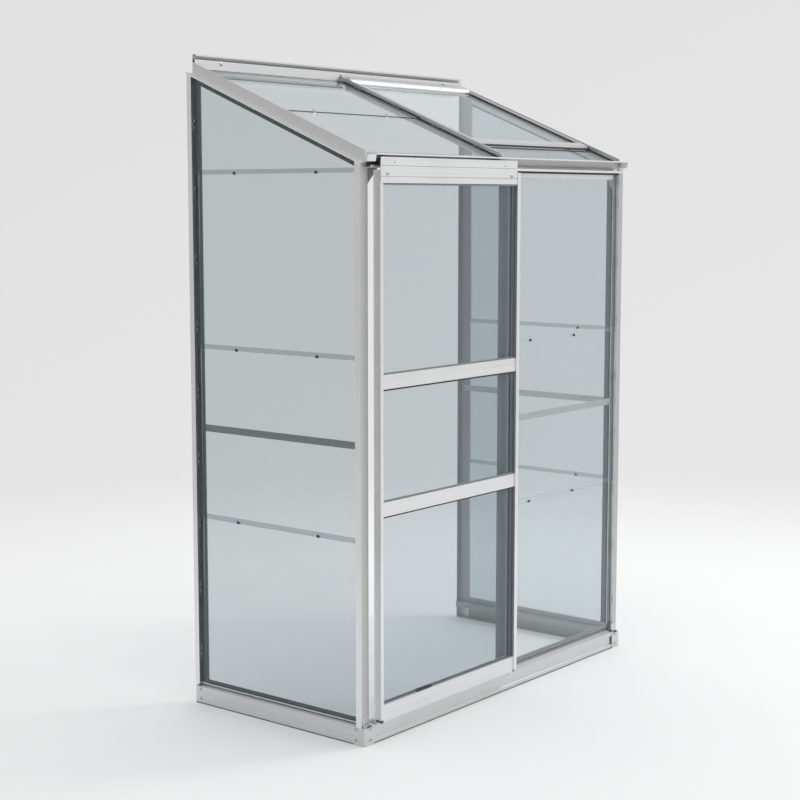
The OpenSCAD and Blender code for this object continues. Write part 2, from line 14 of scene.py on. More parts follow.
import bmesh
import bpy
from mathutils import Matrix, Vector

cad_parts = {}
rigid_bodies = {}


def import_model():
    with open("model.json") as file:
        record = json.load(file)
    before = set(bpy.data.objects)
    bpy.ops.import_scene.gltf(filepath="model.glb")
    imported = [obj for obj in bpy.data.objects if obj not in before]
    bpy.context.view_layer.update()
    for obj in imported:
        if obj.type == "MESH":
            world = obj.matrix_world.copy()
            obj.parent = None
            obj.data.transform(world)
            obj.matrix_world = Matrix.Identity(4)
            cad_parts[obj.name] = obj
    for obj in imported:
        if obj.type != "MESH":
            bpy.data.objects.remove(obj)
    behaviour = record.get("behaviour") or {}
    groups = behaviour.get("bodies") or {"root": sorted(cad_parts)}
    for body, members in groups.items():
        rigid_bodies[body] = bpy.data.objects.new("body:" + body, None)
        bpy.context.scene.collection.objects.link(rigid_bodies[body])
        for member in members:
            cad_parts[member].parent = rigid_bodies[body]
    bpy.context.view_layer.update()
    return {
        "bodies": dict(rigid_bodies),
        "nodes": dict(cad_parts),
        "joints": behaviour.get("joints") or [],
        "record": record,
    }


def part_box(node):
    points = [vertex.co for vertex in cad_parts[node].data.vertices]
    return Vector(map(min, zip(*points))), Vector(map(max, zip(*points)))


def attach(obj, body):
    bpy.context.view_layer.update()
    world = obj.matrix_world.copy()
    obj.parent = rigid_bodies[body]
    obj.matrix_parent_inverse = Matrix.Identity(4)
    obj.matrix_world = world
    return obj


LOG = logging.getLogger("greenhouse")
MM = 0.001
BASE_DEPTH = 651.0
WIDTH = 1320.0
GLASS_THICKNESS = 3.0
LAP_GAP = 0.2
SMALLEST_RADIUS = 0.02
SHARP_ANGLE = math.radians(40)

Pair = tuple[float, float]
Point = tuple[float, float, float]
Colour = tuple[float, float, float]


class Axis(Enum):
    """The direction along which a profile runs."""

    X = 0
    Y = 1
    Z = 2


class Body(Enum):
    """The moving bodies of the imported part."""

    FRAME = "frame"
    DOOR = "door"


class Slot(Enum):
    """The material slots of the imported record."""

    ALUMINIUM = "aluminium"
    STAY = "stay_aluminium"
    DOOR = "door_aluminium"
    GLASS = "glass"
    DOOR_GLASS = "door_glass"
    NYLON = "nylon"


# ---- shader maths ----


class Signal:
    """A value that leaves a node's socket. Python's operators on it add Math nodes."""

    def __init__(self, wiring: "Wiring", socket: bpy.types.NodeSocket) -> None:
        """Keeps the socket and the wiring that it belongs to."""
        self.wiring = wiring
        self.socket = socket

    def _math(self, operation: str, first: object, second: object = None, clamp: bool = False) -> "Signal":
        """Adds one Math node.

        Args:
            operation: The node's operation.
            first: The first value or signal.
            second: The second value or signal, if the operation takes one.
            clamp: Whether the result stays within 0 and 1.

        Returns:
            The node's result.
        """
        values = {0: first} if second is None else {0: first, 1: second}
        return self.wiring.node("ShaderNodeMath", {"operation": operation, "use_clamp": clamp}, values)

    def __add__(self, other: object) -> "Signal":
        """Sum."""
        return self._math("ADD", self, other)

    def __radd__(self, other: object) -> "Signal":
        """Sum with a number on the left."""
        return self._math("ADD", other, self)

    def __sub__(self, other: object) -> "Signal":
        """Difference."""
        return self._math("SUBTRACT", self, other)

    def __rsub__(self, other: object) -> "Signal":
        """Difference from a number on the left."""
        return self._math("SUBTRACT", other, self)

    def __mul__(self, other: object) -> "Signal":
        """Product."""
        return self._math("MULTIPLY", self, other)

    def __rmul__(self, other: object) -> "Signal":
        """Product with a number on the left."""
        return self._math("MULTIPLY", other, self)

    def __pow__(self, exponent: object) -> "Signal":
        """Power."""
        return self._math("POWER", self, exponent)

    def __abs__(self) -> "Signal":
        """Size without sign."""
        return self._math("ABSOLUTE", self)

    def clamped(self) -> "Signal":
        """The same value kept within 0 and 1."""
        return self._math("ADD", self, 0.0, clamp=True)

    def at_most(self, other: object) -> "Signal":
        """The smaller of the two."""
        return self._math("MINIMUM", self, other)

    def at_least(self, other: object) -> "Signal":
        """The larger of the two."""
        return self._math("MAXIMUM", self, other)

    def step(self, low: float, high: float) -> "Signal":
        """A smooth step from 0 to 1.

        Args:
            low: The value where it leaves 0.
            high: The value where it reaches 1.

        Returns:
            The step's height.
        """
        return self.wiring.node(
            "ShaderNodeMapRange",
            {"interpolation_type": "SMOOTHSTEP"},
            {"Value": self, "From Min": low, "From Max": high},
        )


class Wiring:
    """Builds the node tree of one material or world."""

    def __init__(self, tree: bpy.types.NodeTree) -> None:
        """Starts from an empty tree."""
        self.tree = tree
        tree.nodes.clear()

    def node(
        self,
        kind: str,
        settings: dict[str, object] | None = None,
        sockets: dict[str | int, object] | None = None,
        result: str | int = 0,
    ) -> Signal:
        """Adds a node of any type.

        Args:
            kind: The node's type.
            settings: Its settings, set before its sockets.
            sockets: Values or signals for its inputs, by name or number.
            result: The output that the returned signal stands for.

        Returns:
            The chosen output.
        """
        made = self.tree.nodes.new(kind)
        for name, value in (settings or {}).items():
            setattr(made, name, value)
        for key, value in (sockets or {}).items():
            if isinstance(value, Signal):
                self.tree.links.new(value.socket, made.inputs[key])
            else:
                made.inputs[key].default_value = value
        return Signal(self, made.outputs[result]) if len(made.outputs) else Signal(self, None)

    def blend(self, share: object, first: object, second: object) -> Signal:
        """A colour between two others.

        Args:
            share: How much of the second colour there is, 0 to 1.
            first: The first colour or signal.
            second: The second colour or signal.

        Returns:
            The mixed colour.
        """
        def whole(colour: object) -> object:
            """A colour with its alpha."""
            return colour if isinstance(colour, Signal) else (*colour, 1.0)

        sockets = {"Factor": share, 6: whole(first), 7: whole(second)}
        return self.node("ShaderNodeMix", {"data_type": "RGBA"}, sockets, result=2)

    def stretched(self, scale: Point) -> Signal:
        """The point on the piece, in metres of its own frame, times a scale for each axis."""
        place = self.node("ShaderNodeTexCoord", result="Object")
        return self.node("ShaderNodeVectorMath", {"operation": "MULTIPLY"}, {0: place, 1: scale})

    def noise(self, scale: Point, detail: float = 3.0, roughness: float = 0.5) -> Signal:
        """Noise from 0 to 1.

        Args:
            scale: Waves to the metre along each axis.
            detail: How many finer layers it has.
            roughness: How strong the finer layers are.

        Returns:
            The noise's value.
        """
        sockets = {
            "Vector": self.stretched(scale),
            "Scale": 1.0,
            "Detail": detail,
            "Roughness": roughness,
        }
        return self.node("ShaderNodeTexNoise", sockets=sockets)

    def facing(self, direction: Point, normal: str) -> Signal:
        """How nearly the surface faces a way, as the cosine of the angle between them.

        Args:
            direction: The way, as a unit vector.
            normal: Which of the Geometry node's normals is compared with it.

        Returns:
            The cosine, from -1 to 1.
        """
        surface = self.node("ShaderNodeNewGeometry", result=normal)
        return self.node(
            "ShaderNodeVectorMath", {"operation": "DOT_PRODUCT"}, {0: surface, 1: direction}, "Value"
        )

    def bump(self, height: Signal, distance: float, strength: float = 1.0) -> Signal:
        """A normal tilted by waves.

        Args:
            height: The waves, from 0 to 1.
            distance: Their real depth in metres.
            strength: How strongly they tilt the normal.

        Returns:
            The tilted normal.
        """
        sockets = {"Strength": strength, "Distance": distance, "Height": height}
        return self.node("ShaderNodeBump", sockets=sockets)

    def principled(self, sockets: dict[str | int, object]) -> Signal:
        """A Principled shader with the given inputs."""
        return self.node("ShaderNodeBsdfPrincipled", sockets=sockets)

    def surface(self, shader: Signal) -> None:
        """Joins a shader to the output.

        Args:
            shader: The shader.
        """
        backdrop = isinstance(self.tree.id_data, bpy.types.World)
        kind = "ShaderNodeOutputWorld" if backdrop else "ShaderNodeOutputMaterial"
        self.node(kind, sockets={"Surface": shader})


class Finish:
    """Something that makes a material."""

    name: str

    def wire(self, wiring: Wiring) -> Signal:
        """The shader of the finish."""
        raise NotImplementedError

    def made(self) -> bpy.types.Material:
        """The material, made once and then shared.

        Returns:
            The material of this name.
        """
        found = bpy.data.materials.get(self.name)
        if found is not None:
            return found
        material = bpy.data.materials.new(self.name)
        material.use_nodes = True
        wiring = Wiring(material.node_tree)
        wiring.surface(self.wire(wiring))
        return material


@dataclass(frozen=True)
class Aluminium(Finish):
    """Satin extruded aluminium, with fine draw lines along the bar and faint clouds, and painted shade on
    faces that face the shaded way.
    """

    name: str
    along: Axis
    tone: Colour = (0.69, 0.695, 0.70)
    roughness: float = 0.38
    streak: float = 0.05
    darker_streak: float = 2.2
    lines_per_metre: float = 420.0
    line_stretch: float = 0.004
    line_depth: float = 0.00004
    finer: float = 4.5
    line_shares: Pair = (0.6, 0.4)
    cloud_scale: Point = (7.0, 7.0, 7.0)
    streak_shares: Pair = (0.7, 0.3)
    # Painted shade: the way that darkened faces face, the share of the tone they keep, and the facing over
    # which it sets in.
    shaded: Point = (0.0, 0.0, 0.0)
    shaded_share: float = 1.0
    shaded_from: Pair = (0.5, 0.9)

    def wire(self, wiring: Wiring) -> Signal:
        """Draw lines darken and roughen the metal a little, and tilt its surface; faces towards the shaded
        way get painted shade.

        Args:
            wiring: The material's node tree.

        Returns:
            The shader.
        """
        lines = wiring.noise(self._lengthwise(self.lines_per_metre), detail=2.0)
        fine = wiring.noise(self._lengthwise(self.lines_per_metre * self.finer), detail=1.0)
        cloud = wiring.noise(self.cloud_scale, detail=4.0)
        grain = self.line_shares[0] * lines + self.line_shares[1] * fine
        dark = tuple(c * (1 - self.darker_streak * self.streak) for c in self.tone)
        light = tuple(min(1.0, c * (1 + self.streak)) for c in self.tone)
        by_line, by_cloud = self.streak_shares
        share = (grain.step(0.3, 0.7) * by_line + cloud.step(0.25, 0.75) * by_cloud).clamped()
        colour = wiring.blend(share, dark, light)
        # Painted shade: faces that face the shaded way are darkened to a share of the tone.
        if self.shaded_share < 1.0:
            painted_shade_tone = tuple(c * self.shaded_share for c in self.tone)
            facing = wiring.facing(self.shaded, "True Normal")
            colour = wiring.blend(facing.step(*self.shaded_from), colour, painted_shade_tone)
        return wiring.principled(
            {
                "Base Color": colour,
                "Metallic": 1.0,
                "Roughness": (self.roughness - 0.05) + 0.06 * cloud + 0.05 * grain,
                "Normal": wiring.bump(grain, self.line_depth),
            }
        )

    def _lengthwise(self, across: float) -> Point:
        """The scale of the draw lines, which are long along the bar and close together across it.

        Args:
            across: Waves to the metre across the bar.

        Returns:
            Waves to the metre along each axis.
        """
        scale = [across] * 3
        scale[self.along.value] = across * self.line_stretch
        return tuple(scale)


@dataclass(frozen=True)
class Glass(Finish):
    """Clear horticultural glass: a cool see-through colour, darkened on some panes as painted shade, pale
    gloss at a slant, green on its cut edges, faint smears.
    """

    name: str
    face: Point
    tint_and_shade: Colour = (0.885, 0.93, 0.94)
    veil: Colour = (0.74, 0.84, 0.88)
    edge: Colour = (0.34, 0.50, 0.47)
    cover: float = 0.055
    gloss: float = 0.8
    gloss_power: float = 5.0
    cut_from: Pair = (0.3, 0.8)
    cut_cover: float = 0.82
    smear_scale: Point = (5.0, 5.0, 2.2)
    smear_from: Pair = (0.45, 0.85)
    smear_cover: float = 0.02
    metallic: float = 0.65
    roughness: Point = (0.045, 0.06, 0.2)

    def wire(self, wiring: Wiring) -> Signal:
        """Mixes see-through and glossy shaders by angle, by cut edge and by smears.

        Args:
            wiring: The material's node tree.

        Returns:
            The shader.
        """
        cut = 1 - abs(wiring.facing(self.face, "Normal")).step(*self.cut_from)
        smears = wiring.noise(self.smear_scale, detail=5.0, roughness=0.62).step(*self.smear_from)
        slant = wiring.node("ShaderNodeLayerWeight", sockets={"Blend": 0.5}, result="Facing")
        cover = self.cover + self.gloss * slant**self.gloss_power + self.smear_cover * smears
        share = cover.clamped().at_least(self.cut_cover * cut)
        clean, smeared, on_cut = self.roughness
        gloss = wiring.principled(
            {
                "Base Color": wiring.blend(cut, self.veil, self.edge),
                "Metallic": self.metallic,
                "Roughness": clean + smeared * smears + on_cut * cut,
            }
        )
        clear = wiring.node("ShaderNodeBsdfTransparent", sockets={"Color": (*self.tint_and_shade, 1.0)})
        return wiring.node("ShaderNodeMixShader", sockets={0: share, 1: clear, 2: gloss})


@dataclass(frozen=True)
class Patchy(Finish):
    """A finish with soft patches of a second tone, which are also rougher, and a fine grain.

    Scales are waves to the metre, and the grain's depth is in metres.
    """

    name: str
    tone: Colour
    patch_tone: Colour
    roughness: float
    patch_scale: Point
    patch_detail: float
    patch_from: Pair
    patch_roughness: float
    grain_scale: Point
    grain_detail: float
    grain_depth: float
    grain_strength: float
    metallic: float = 0.0

    def wire(self, wiring: Wiring) -> Signal:
        """Lays the patches over the tone and tilts the surface by the grain.

        Args:
            wiring: The material's node tree.

        Returns:
            The shader.
        """
        patch = wiring.noise(self.patch_scale, self.patch_detail).step(*self.patch_from)
        grain = wiring.noise(self.grain_scale, self.grain_detail)
        return wiring.principled(
            {
                "Base Color": wiring.blend(patch, self.tone, self.patch_tone),
                "Metallic": self.metallic,
                "Roughness": self.roughness + self.patch_roughness * patch,
                "Normal": wiring.bump(grain, self.grain_depth, self.grain_strength),
            }
        )


@dataclass(frozen=True)
class Rubber(Patchy):
    """Black glazing rubber: dust in soft patches on a fine moulded skin."""

    tone: Colour = (0.018, 0.020, 0.022)
    patch_tone: Colour = (0.060, 0.064, 0.068)
    roughness: float = 0.55
    patch_scale: Point = (60.0, 60.0, 25.0)
    patch_detail: float = 4.0
    patch_from: Pair = (0.45, 0.8)
    patch_roughness: float = 0.2
    grain_scale: Point = (1800.0, 1800.0, 1800.0)
    grain_detail: float = 2.0
    grain_depth: float = 0.00006
    grain_strength: float = 0.6


@dataclass(frozen=True)
class Steel(Patchy):
    """Spring wire, screws and bolts: bright steel with dull patches and a soft turned grain."""

    tone: Colour = (0.56, 0.57, 0.58)
    patch_tone: Colour = (0.36, 0.37, 0.38)
    roughness: float = 0.3
    patch_scale: Point = (260.0, 260.0, 260.0)
    patch_detail: float = 3.0
    patch_from: Pair = (0.35, 0.75)
    patch_roughness: float = 0.18
    grain_scale: Point = (2600.0, 2600.0, 900.0)
    grain_detail: float = 1.0
    grain_depth: float = 0.00003
    grain_strength: float = 0.7
    metallic: float = 1.0


@dataclass(frozen=True)
class Nylon(Patchy):
    """Moulded nylon with worn patches and a faint pebbled skin."""

    tone: Colour = (0.055, 0.057, 0.06)
    patch_tone: Colour = (0.12, 0.123, 0.127)
    roughness: float = 0.42
    patch_scale: Point = (120.0, 120.0, 120.0)
    patch_detail: float = 4.0
    patch_from: Pair = (0.5, 0.8)
    patch_roughness: float = 0.15
    grain_scale: Point = (1400.0, 1400.0, 1400.0)
    grain_detail: float = 2.0
    grain_depth: float = 0.00005
    grain_strength: float = 0.5


@dataclass(frozen=True)
class PaleFloor(Finish):
    """Plain pale floor that thins out to the backdrop at its rim."""

    name: str
    tone: Colour = (0.94, 0.943, 0.945)
    solid_radius: float = 1.5
    rim_radius: float = 4.2
    mottle_scale: Point = (3.0, 3.0, 3.0)
    mottle_tone: float = 0.985
    roughness: Pair = (0.6, 0.1)
    specular: float = 0.2

    def wire(self, wiring: Wiring) -> Signal:
        """Matt near the object, and see-through towards the rim.

        Args:
            wiring: The material's node tree.

        Returns:
            The shader.
        """
        place = wiring.stretched((1.0, 1.0, 0.0))
        away = wiring.node("ShaderNodeVectorMath", {"operation": "LENGTH"}, {0: place}, "Value")
        mottle = wiring.noise(self.mottle_scale, detail=4.0)
        darker = tuple(c * self.mottle_tone for c in self.tone)
        matt = wiring.principled(
            {
                "Base Color": wiring.blend(mottle, darker, self.tone),
                "Roughness": self.roughness[0] + self.roughness[1] * mottle,
                "Specular IOR Level": self.specular,
            }
        )
        clear = wiring.node("ShaderNodeBsdfTransparent")
        share = away.step(self.solid_radius, self.rim_radius)
        return wiring.node("ShaderNodeMixShader", sockets={0: share, 1: matt, 2: clear})


ROOF_PITCH = math.radians(22.1)
ROOF_FACE = (0.0, -math.sin(ROOF_PITCH), math.cos(ROOF_PITCH))
TO_FRONT = (0.0, -1.0, 0.0)
TO_LEFT = (-1.0, 0.0, 0.0)
ALUMINIUM = {axis: Aluminium(f"satin_aluminium_{axis.name.lower()}", axis) for axis in Axis}
# Painted shade: faces towards the left, the room side of the right sill and right wall post, keep half the
# tone.
INNER_SHADED_ALUMINIUM = {
    axis: Aluminium(f"left_shaded_aluminium_{axis.name.lower()}", axis, shaded=TO_LEFT, shaded_share=0.5)
    for axis in Axis
}
DOOR_METAL = {
    axis: Aluminium(f"door_aluminium_{axis.name.lower()}", axis, (0.81, 0.815, 0.82), 0.36) for axis in Axis
}
# Painted shade on the braces: the front brace's front faces keep three quarters of the tone, and the side
# braces have a darker tone all over.
STAY_METAL = {
    Axis.X: Aluminium(
        "stay_aluminium_x", Axis.X, (0.68, 0.69, 0.70), 0.42, shaded=TO_FRONT, shaded_share=0.75
    ),
    Axis.Y: Aluminium("stay_aluminium_y", Axis.Y, (0.50, 0.51, 0.52), 0.42),
}
# Painted shade: the gussets below the gutter have a dark tone.
SHADED_GUSSET_METAL = Aluminium("shaded_gusset_aluminium", Axis.X, (0.36, 0.37, 0.38), 0.45)
# Painted light and shade on the posts: a light tone for their side faces, and painted shadow of the door
# and gutter on their front faces.
POST_METAL = Aluminium(
    "post_aluminium", Axis.Z, (0.88, 0.88, 0.88), 0.38, shaded=TO_FRONT, shaded_share=0.70
)
RIGHT_POST_METAL = Aluminium(
    "right_post_aluminium", Axis.Z, (0.88, 0.88, 0.88), 0.38, shaded=TO_FRONT, shaded_share=0.60
)
# Painted highlight: a near-white tone for the end bars' rounded nosings.
HIGHLIGHT_EDGE_METAL = Aluminium("highlight_edge_aluminium", Axis.Y, (0.95, 0.95, 0.95), 0.32)
# Painted light and shade on the left roof bar: a near-white tone, so that the flange's top reads as a
# highlight, and painted shade on the faces towards the left.
LEFT_BAR_METAL = Aluminium(
    "left_bar_aluminium", Axis.Y, (0.97, 0.97, 0.97), 0.42, shaded=TO_LEFT, shaded_share=0.74
)
# Painted shade on the wall bar: a lowered tone that damps the lamp's glint, and darker faces that lie along
# the roof.
WALL_BAR_METAL = Aluminium(
    "wall_bar_aluminium", Axis.X, (0.66, 0.66, 0.66), 0.5,
    shaded=ROOF_FACE, shaded_share=0.6, shaded_from=(0.97, 0.995),
)
# Painted light and shade on the gutter: a light tone for its lips, and painted shade on its front wall,
# which faces the front and down.
GUTTER_METAL = Aluminium(
    "gutter_aluminium", Axis.X, (0.84, 0.84, 0.84), 0.38,
    shaded=(0.0, -0.92, -0.39), shaded_share=0.55, shaded_from=(0.95, 0.99),
)
# Painted shade on the front sill's sloping face, which would otherwise glint in the lamp.
FRONT_SILL_METAL = Aluminium(
    "front_sill_aluminium", Axis.X, (0.70, 0.70, 0.705), 0.45,
    shaded=(0.0, -0.707, 0.707), shaded_share=0.72, shaded_from=(0.88, 0.97),
)
# Painted shade: dark aluminium for the header's ribs, which stand for the shade in its grooves.
SHADED_GROOVE_METAL = Aluminium("shaded_groove_aluminium", Axis.X, (0.34, 0.34, 0.345), 0.5)
# Painted shade: the side, door and roof glass let less light through than the front, standing for the shade
# on what lies behind them.
SIDE_GLASS = Glass("clear_side_glass", (1.0, 0.0, 0.0), (0.802, 0.828, 0.838))
FRONT_GLASS = Glass("clear_front_glass", (0.0, 1.0, 0.0), (0.985, 0.990, 0.992))
DOOR_GLASS = Glass("clear_door_glass", (0.0, 1.0, 0.0), (0.802, 0.832, 0.844))
DARK_EDGE = (0.06, 0.08, 0.08)
ROOF_GLASS = Glass("clear_roof_glass", ROOF_FACE, (0.85, 0.862, 0.868), edge=DARK_EDGE, gloss=0.4)
VENT_GLASS = Glass("clear_vent_glass", ROOF_FACE, (0.93, 0.942, 0.947), edge=DARK_EDGE, gloss=0.5)
GLAZING_RUBBER = Rubber("glazing_rubber")
# Slate strips: partly glazing rubber, partly painted shade of the seats seen through the glass.
SEAT_SHADE_RUBBER = Rubber("seat_rubber", (0.088, 0.104, 0.114), (0.125, 0.142, 0.152), 0.6)
# Painted light: a pale strip for the light seen through the gap at the door post's edge.
PALE_GAP_LIGHT = Rubber("pale_gap_light", (0.80, 0.82, 0.83), (0.70, 0.72, 0.73), 0.7)
# Painted shade: a grey sheet gives the right stile's web its shaded look.
STILE_SHADE_SHEET = Rubber("stile_shade_sheet", (0.34, 0.34, 0.35), (0.40, 0.40, 0.41), 0.5)
# A paler slate, partly rubber and partly painted shade, for strips behind the front and door glass and
# under the wall bar.
PALE_SEAT_SHADE_RUBBER = Rubber("pale_seat_rubber", (0.21, 0.235, 0.25), (0.26, 0.285, 0.30), 0.6)
CLIP_WIRE = Steel("spring_wire", (0.50, 0.52, 0.53), (0.30, 0.31, 0.32), 0.34)
BOLT_STEEL = Steel("bolt_steel")
BOLT_ALUMINIUM = Steel("bolt_aluminium", (0.55, 0.55, 0.555), (0.45, 0.45, 0.455), 0.4)
DARK_CLIP = Steel("lap_clip_steel", (0.10, 0.105, 0.11), (0.04, 0.042, 0.045), 0.4)
BLACK_NYLON = Nylon("black_nylon")
WHITE_NYLON = Nylon("white_nylon", (0.93, 0.93, 0.93), (0.88, 0.88, 0.88), 0.4)
PALE_NYLON = Nylon("pale_nylon", (0.62, 0.63, 0.63), (0.70, 0.70, 0.70), 0.4)


# ---- meshes ----


class Datum:
    """The front left corner of the base, from which lengths are given in millimetres."""

    def __init__(self) -> None:
        """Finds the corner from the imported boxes."""
        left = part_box("left_roof_bar")[0].x
        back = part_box("wall_bar")[1].y
        self.origin = Vector((left, back - BASE_DEPTH * MM, 0.0))

    def metres(self, point: Point) -> Vector:
        """A point in metres of the shared frame."""
        return self.origin + Vector(point) * MM

    def box(self, node: str) -> tuple[Vector, Vector]:
        """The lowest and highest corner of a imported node, in millimetres."""
        low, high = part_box(node)
        return (low - self.origin) / MM, (high - self.origin) / MM


def turns(steps: int) -> list[float]:
    """The angles that share a full turn out in even steps."""
    return [2 * math.pi * i / steps for i in range(steps)]


def placed(axis: Axis, along: float, first: float, second: float) -> Point:
    """A point from its place along an axis and its two other coordinates.

    Args:
        axis: The axis.
        along: The coordinate on that axis.
        first: The first of the other two, in x, y, z order.
        second: The last one.

    Returns:
        The point.
    """
    if axis is Axis.X:
        return (along, first, second)
    if axis is Axis.Y:
        return (first, along, second)
    return (first, second, along)


@dataclass
class Shape:
    """The points and faces of one piece while it is being made."""

    points: list[Vector] = field(default_factory=list)
    faces: list[tuple[int, ...]] = field(default_factory=list)

    def rings(self, rings: list[list[Vector]]) -> None:
        """Skins a row of rings and closes both ends.

        Args:
            rings: The rings, which all have the same number of points.
        """
        start, size = len(self.points), len(rings[0])
        for ring in rings:
            self.points.extend(ring)
        for row in range(len(rings) - 1):
            low = start + row * size
            for i in range(size):
                j = (i + 1) % size
                self.faces.append((low + i, low + j, low + size + j, low + size + i))
        self.faces.append(tuple(start + i for i in reversed(range(size))))
        self.faces.append(tuple(start + (len(rings) - 1) * size + i for i in range(size)))

    def prism(self, axis: Axis, ends: Pair, outline: list[Pair]) -> None:
        """A straight bar of one outline.

        Args:
            axis: The direction along which the bar runs.
            ends: Where it starts and ends.
            outline: The section's corners, in the other two coordinates.
        """
        self.rings([[Vector(placed(axis, t, a, b)) for a, b in outline] for t in ends])

    def loft(self, axis: Axis, sections: list[tuple[float, list[Pair]]]) -> None:
        """A bar whose outline changes along it, given as (place, outline) pairs."""
        self.rings([[Vector(placed(axis, t, a, b)) for a, b in outline] for t, outline in sections])

    def turned(
        self,
        centre: Point,
        direction: Point,
        profile: list[Pair],
        steps: int = 28,
        oval: Pair = (1.0, 1.0),
    ) -> None:
        """A turned part.

        Args:
            centre: Where its foot stands.
            direction: Where its axis points.
            profile: (height, radius) pairs from the foot to the head.
            steps: How many sides the circle has.
            oval: How the circle is stretched across and along its own plane.
        """
        axis = Vector(direction).normalized()
        upright = abs(axis.z) > 0.9
        side = (axis.orthogonal() if upright else Vector((0, 0, 1)).cross(axis)).normalized()
        other = axis.cross(side)
        foot = Vector(centre)
        spokes = [side * (math.cos(a) * oval[0]) + other * (math.sin(a) * oval[1]) for a in turns(steps)]
        self.rings(
            [
                [foot + axis * height + spoke * max(radius, SMALLEST_RADIUS) for spoke in spokes]
                for height, radius in profile
            ]
        )

    def wire(self, path: list[Point], radius: float, sides: int = 8) -> None:
        """A round wire.

        Args:
            path: The points along its middle.
            radius: Its radius.
            sides: How many sides its section has.
        """
        line = [Vector(p) for p in path]
        rings = []
        side = (line[1] - line[0]).orthogonal().normalized()
        for i, point in enumerate(line):
            run = (line[min(i + 1, len(line) - 1)] - line[max(i - 1, 0)]).normalized()
            side = (side - run * side.dot(run)).normalized()
            other = run.cross(side)
            rings.append(
                [point + (side * math.cos(a) + other * math.sin(a)) * radius for a in turns(sides)]
            )
        self.rings(rings)


def bead(low: Pair, high: Pair, crown: float = 0.25) -> list[Pair]:
    """The section of a rubber strip between two corners, with rounded shoulders.

    Args:
        low: The lower corner.
        high: The upper corner.
        crown: The shoulder's share of the smaller side.

    Returns:
        The outline's corners.
    """
    (x0, y0), (x1, y1) = low, high
    cut = crown * min(x1 - x0, y1 - y0)
    third = cut * 0.3
    return [
        (x0 + cut, y0), (x1 - cut, y0), (x1 - third, y0 + third), (x1, y0 + cut), (x1, y1 - cut),
        (x1 - third, y1 - third), (x1 - cut, y1), (x0 + cut, y1), (x0 + third, y1 - third), (x0, y1 - cut),
        (x0, y0 + cut), (x0 + third, y0 + third),
    ]


def curve_through(points: list[Point], steps: int = 5) -> list[Point]:
    """A smooth line through some points.

    Args:
        points: The points that it passes.
        steps: How many pieces lie between two points.

    Returns:
        The line's points.
    """
    ends = [Vector(points[0]), *[Vector(p) for p in points], Vector(points[-1])]
    line = []
    for i in range(1, len(ends) - 2):
        a, b, c, d = ends[i - 1 : i + 3]
        for k in range(steps):
            t = k / steps
            square = (2 * a - 5 * b + 4 * c - d) * t**2
            cube = (3 * b - a - 3 * c + d) * t**3
            line.append(0.5 * (2 * b + (c - a) * t + square + cube))
    line.append(ends[-2])
    return [tuple(p) for p in line]


class Workshop:
    """Turns shapes into pieces on their bodies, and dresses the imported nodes."""

    def __init__(self, frame: dict[str, object], datum: Datum) -> None:
        """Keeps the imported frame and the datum."""
        self.nodes = frame["nodes"]
        self.datum = datum

    def piece(
        self,
        name: str,
        shape: Shape,
        finish: Finish,
        body: Body = Body.FRAME,
        slot: Slot = Slot.ALUMINIUM,
    ) -> bpy.types.Object:
        """Makes one piece.

        Args:
            name: The piece's name.
            shape: Its points and faces, in millimetres from the datum.
            finish: Its finish.
            body: The body that it rides on.
            slot: The record's slot; not used.

        Returns:
            The new object.
        """
        mesh = bpy.data.meshes.new(name)
        mesh.from_pydata([self.datum.metres(p) for p in shape.points], [], shape.faces)
        work = bmesh.new()
        work.from_mesh(mesh)
        bmesh.ops.recalc_face_normals(work, faces=work.faces)
        work.to_mesh(mesh)
        work.free()
        mesh.shade_smooth()
        mesh.set_sharp_from_angle(angle=SHARP_ANGLE)
        mesh.materials.append(finish.made())
        made = bpy.data.objects.new(name, mesh)
        bpy.context.scene.collection.objects.link(made)
        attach(made, body.value)
        LOG.info("%s: %d faces on %s", name, len(mesh.polygons), body.value)
        return made

    def dress(self, node: str, finish: Finish, slot: Slot = Slot.ALUMINIUM) -> None:
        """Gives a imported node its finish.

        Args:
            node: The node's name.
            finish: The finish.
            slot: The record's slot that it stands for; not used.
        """
        packed = self.nodes[node]
        packed.data.materials.clear()
        packed.data.materials.append(finish.made())
        LOG.info("%s: %s", node, finish.name)


@dataclass
class Fastener:
    """A screw or bolt head with a low dome, and a washer if it has one."""

    head_radius: float = 4.6
    head_height: float = 1.6
    washer_radius: float = 0.0
    washer_height: float = 0.5
    washer_oval: Pair = (1.0, 1.0)
    washer_steps: int = 36
    recess_radius: float = 1.3

    def add(self, shape: Shape, centre: Point, direction: Point) -> None:
        """Sets one head on a face.

        Args:
            shape: The shape that it joins.
            centre: Where the head's axis meets the face.
            direction: The way out of the face.
        """
        foot = 0.0
        if self.washer_radius:
            edge, rim = self.washer_radius, self.washer_height
            washer = [(0, edge - 0.1), (rim * 0.6, edge), (rim, edge - 0.4)]
            shape.turned(centre, direction, washer, self.washer_steps, self.washer_oval)
            foot = rim
        r, h = self.head_radius, self.head_height
        profile = [
            (foot, r), (foot + h * 0.35, r), (foot + h * 0.7, r * 0.86), (foot + h * 0.93, r * 0.6),
            (foot + h, r * 0.42), (foot + h, self.recess_radius),
            (foot + h * 0.55, self.recess_radius * 0.75),
        ]
        shape.turned(centre, direction, profile)


# ---- sub-assemblies ----


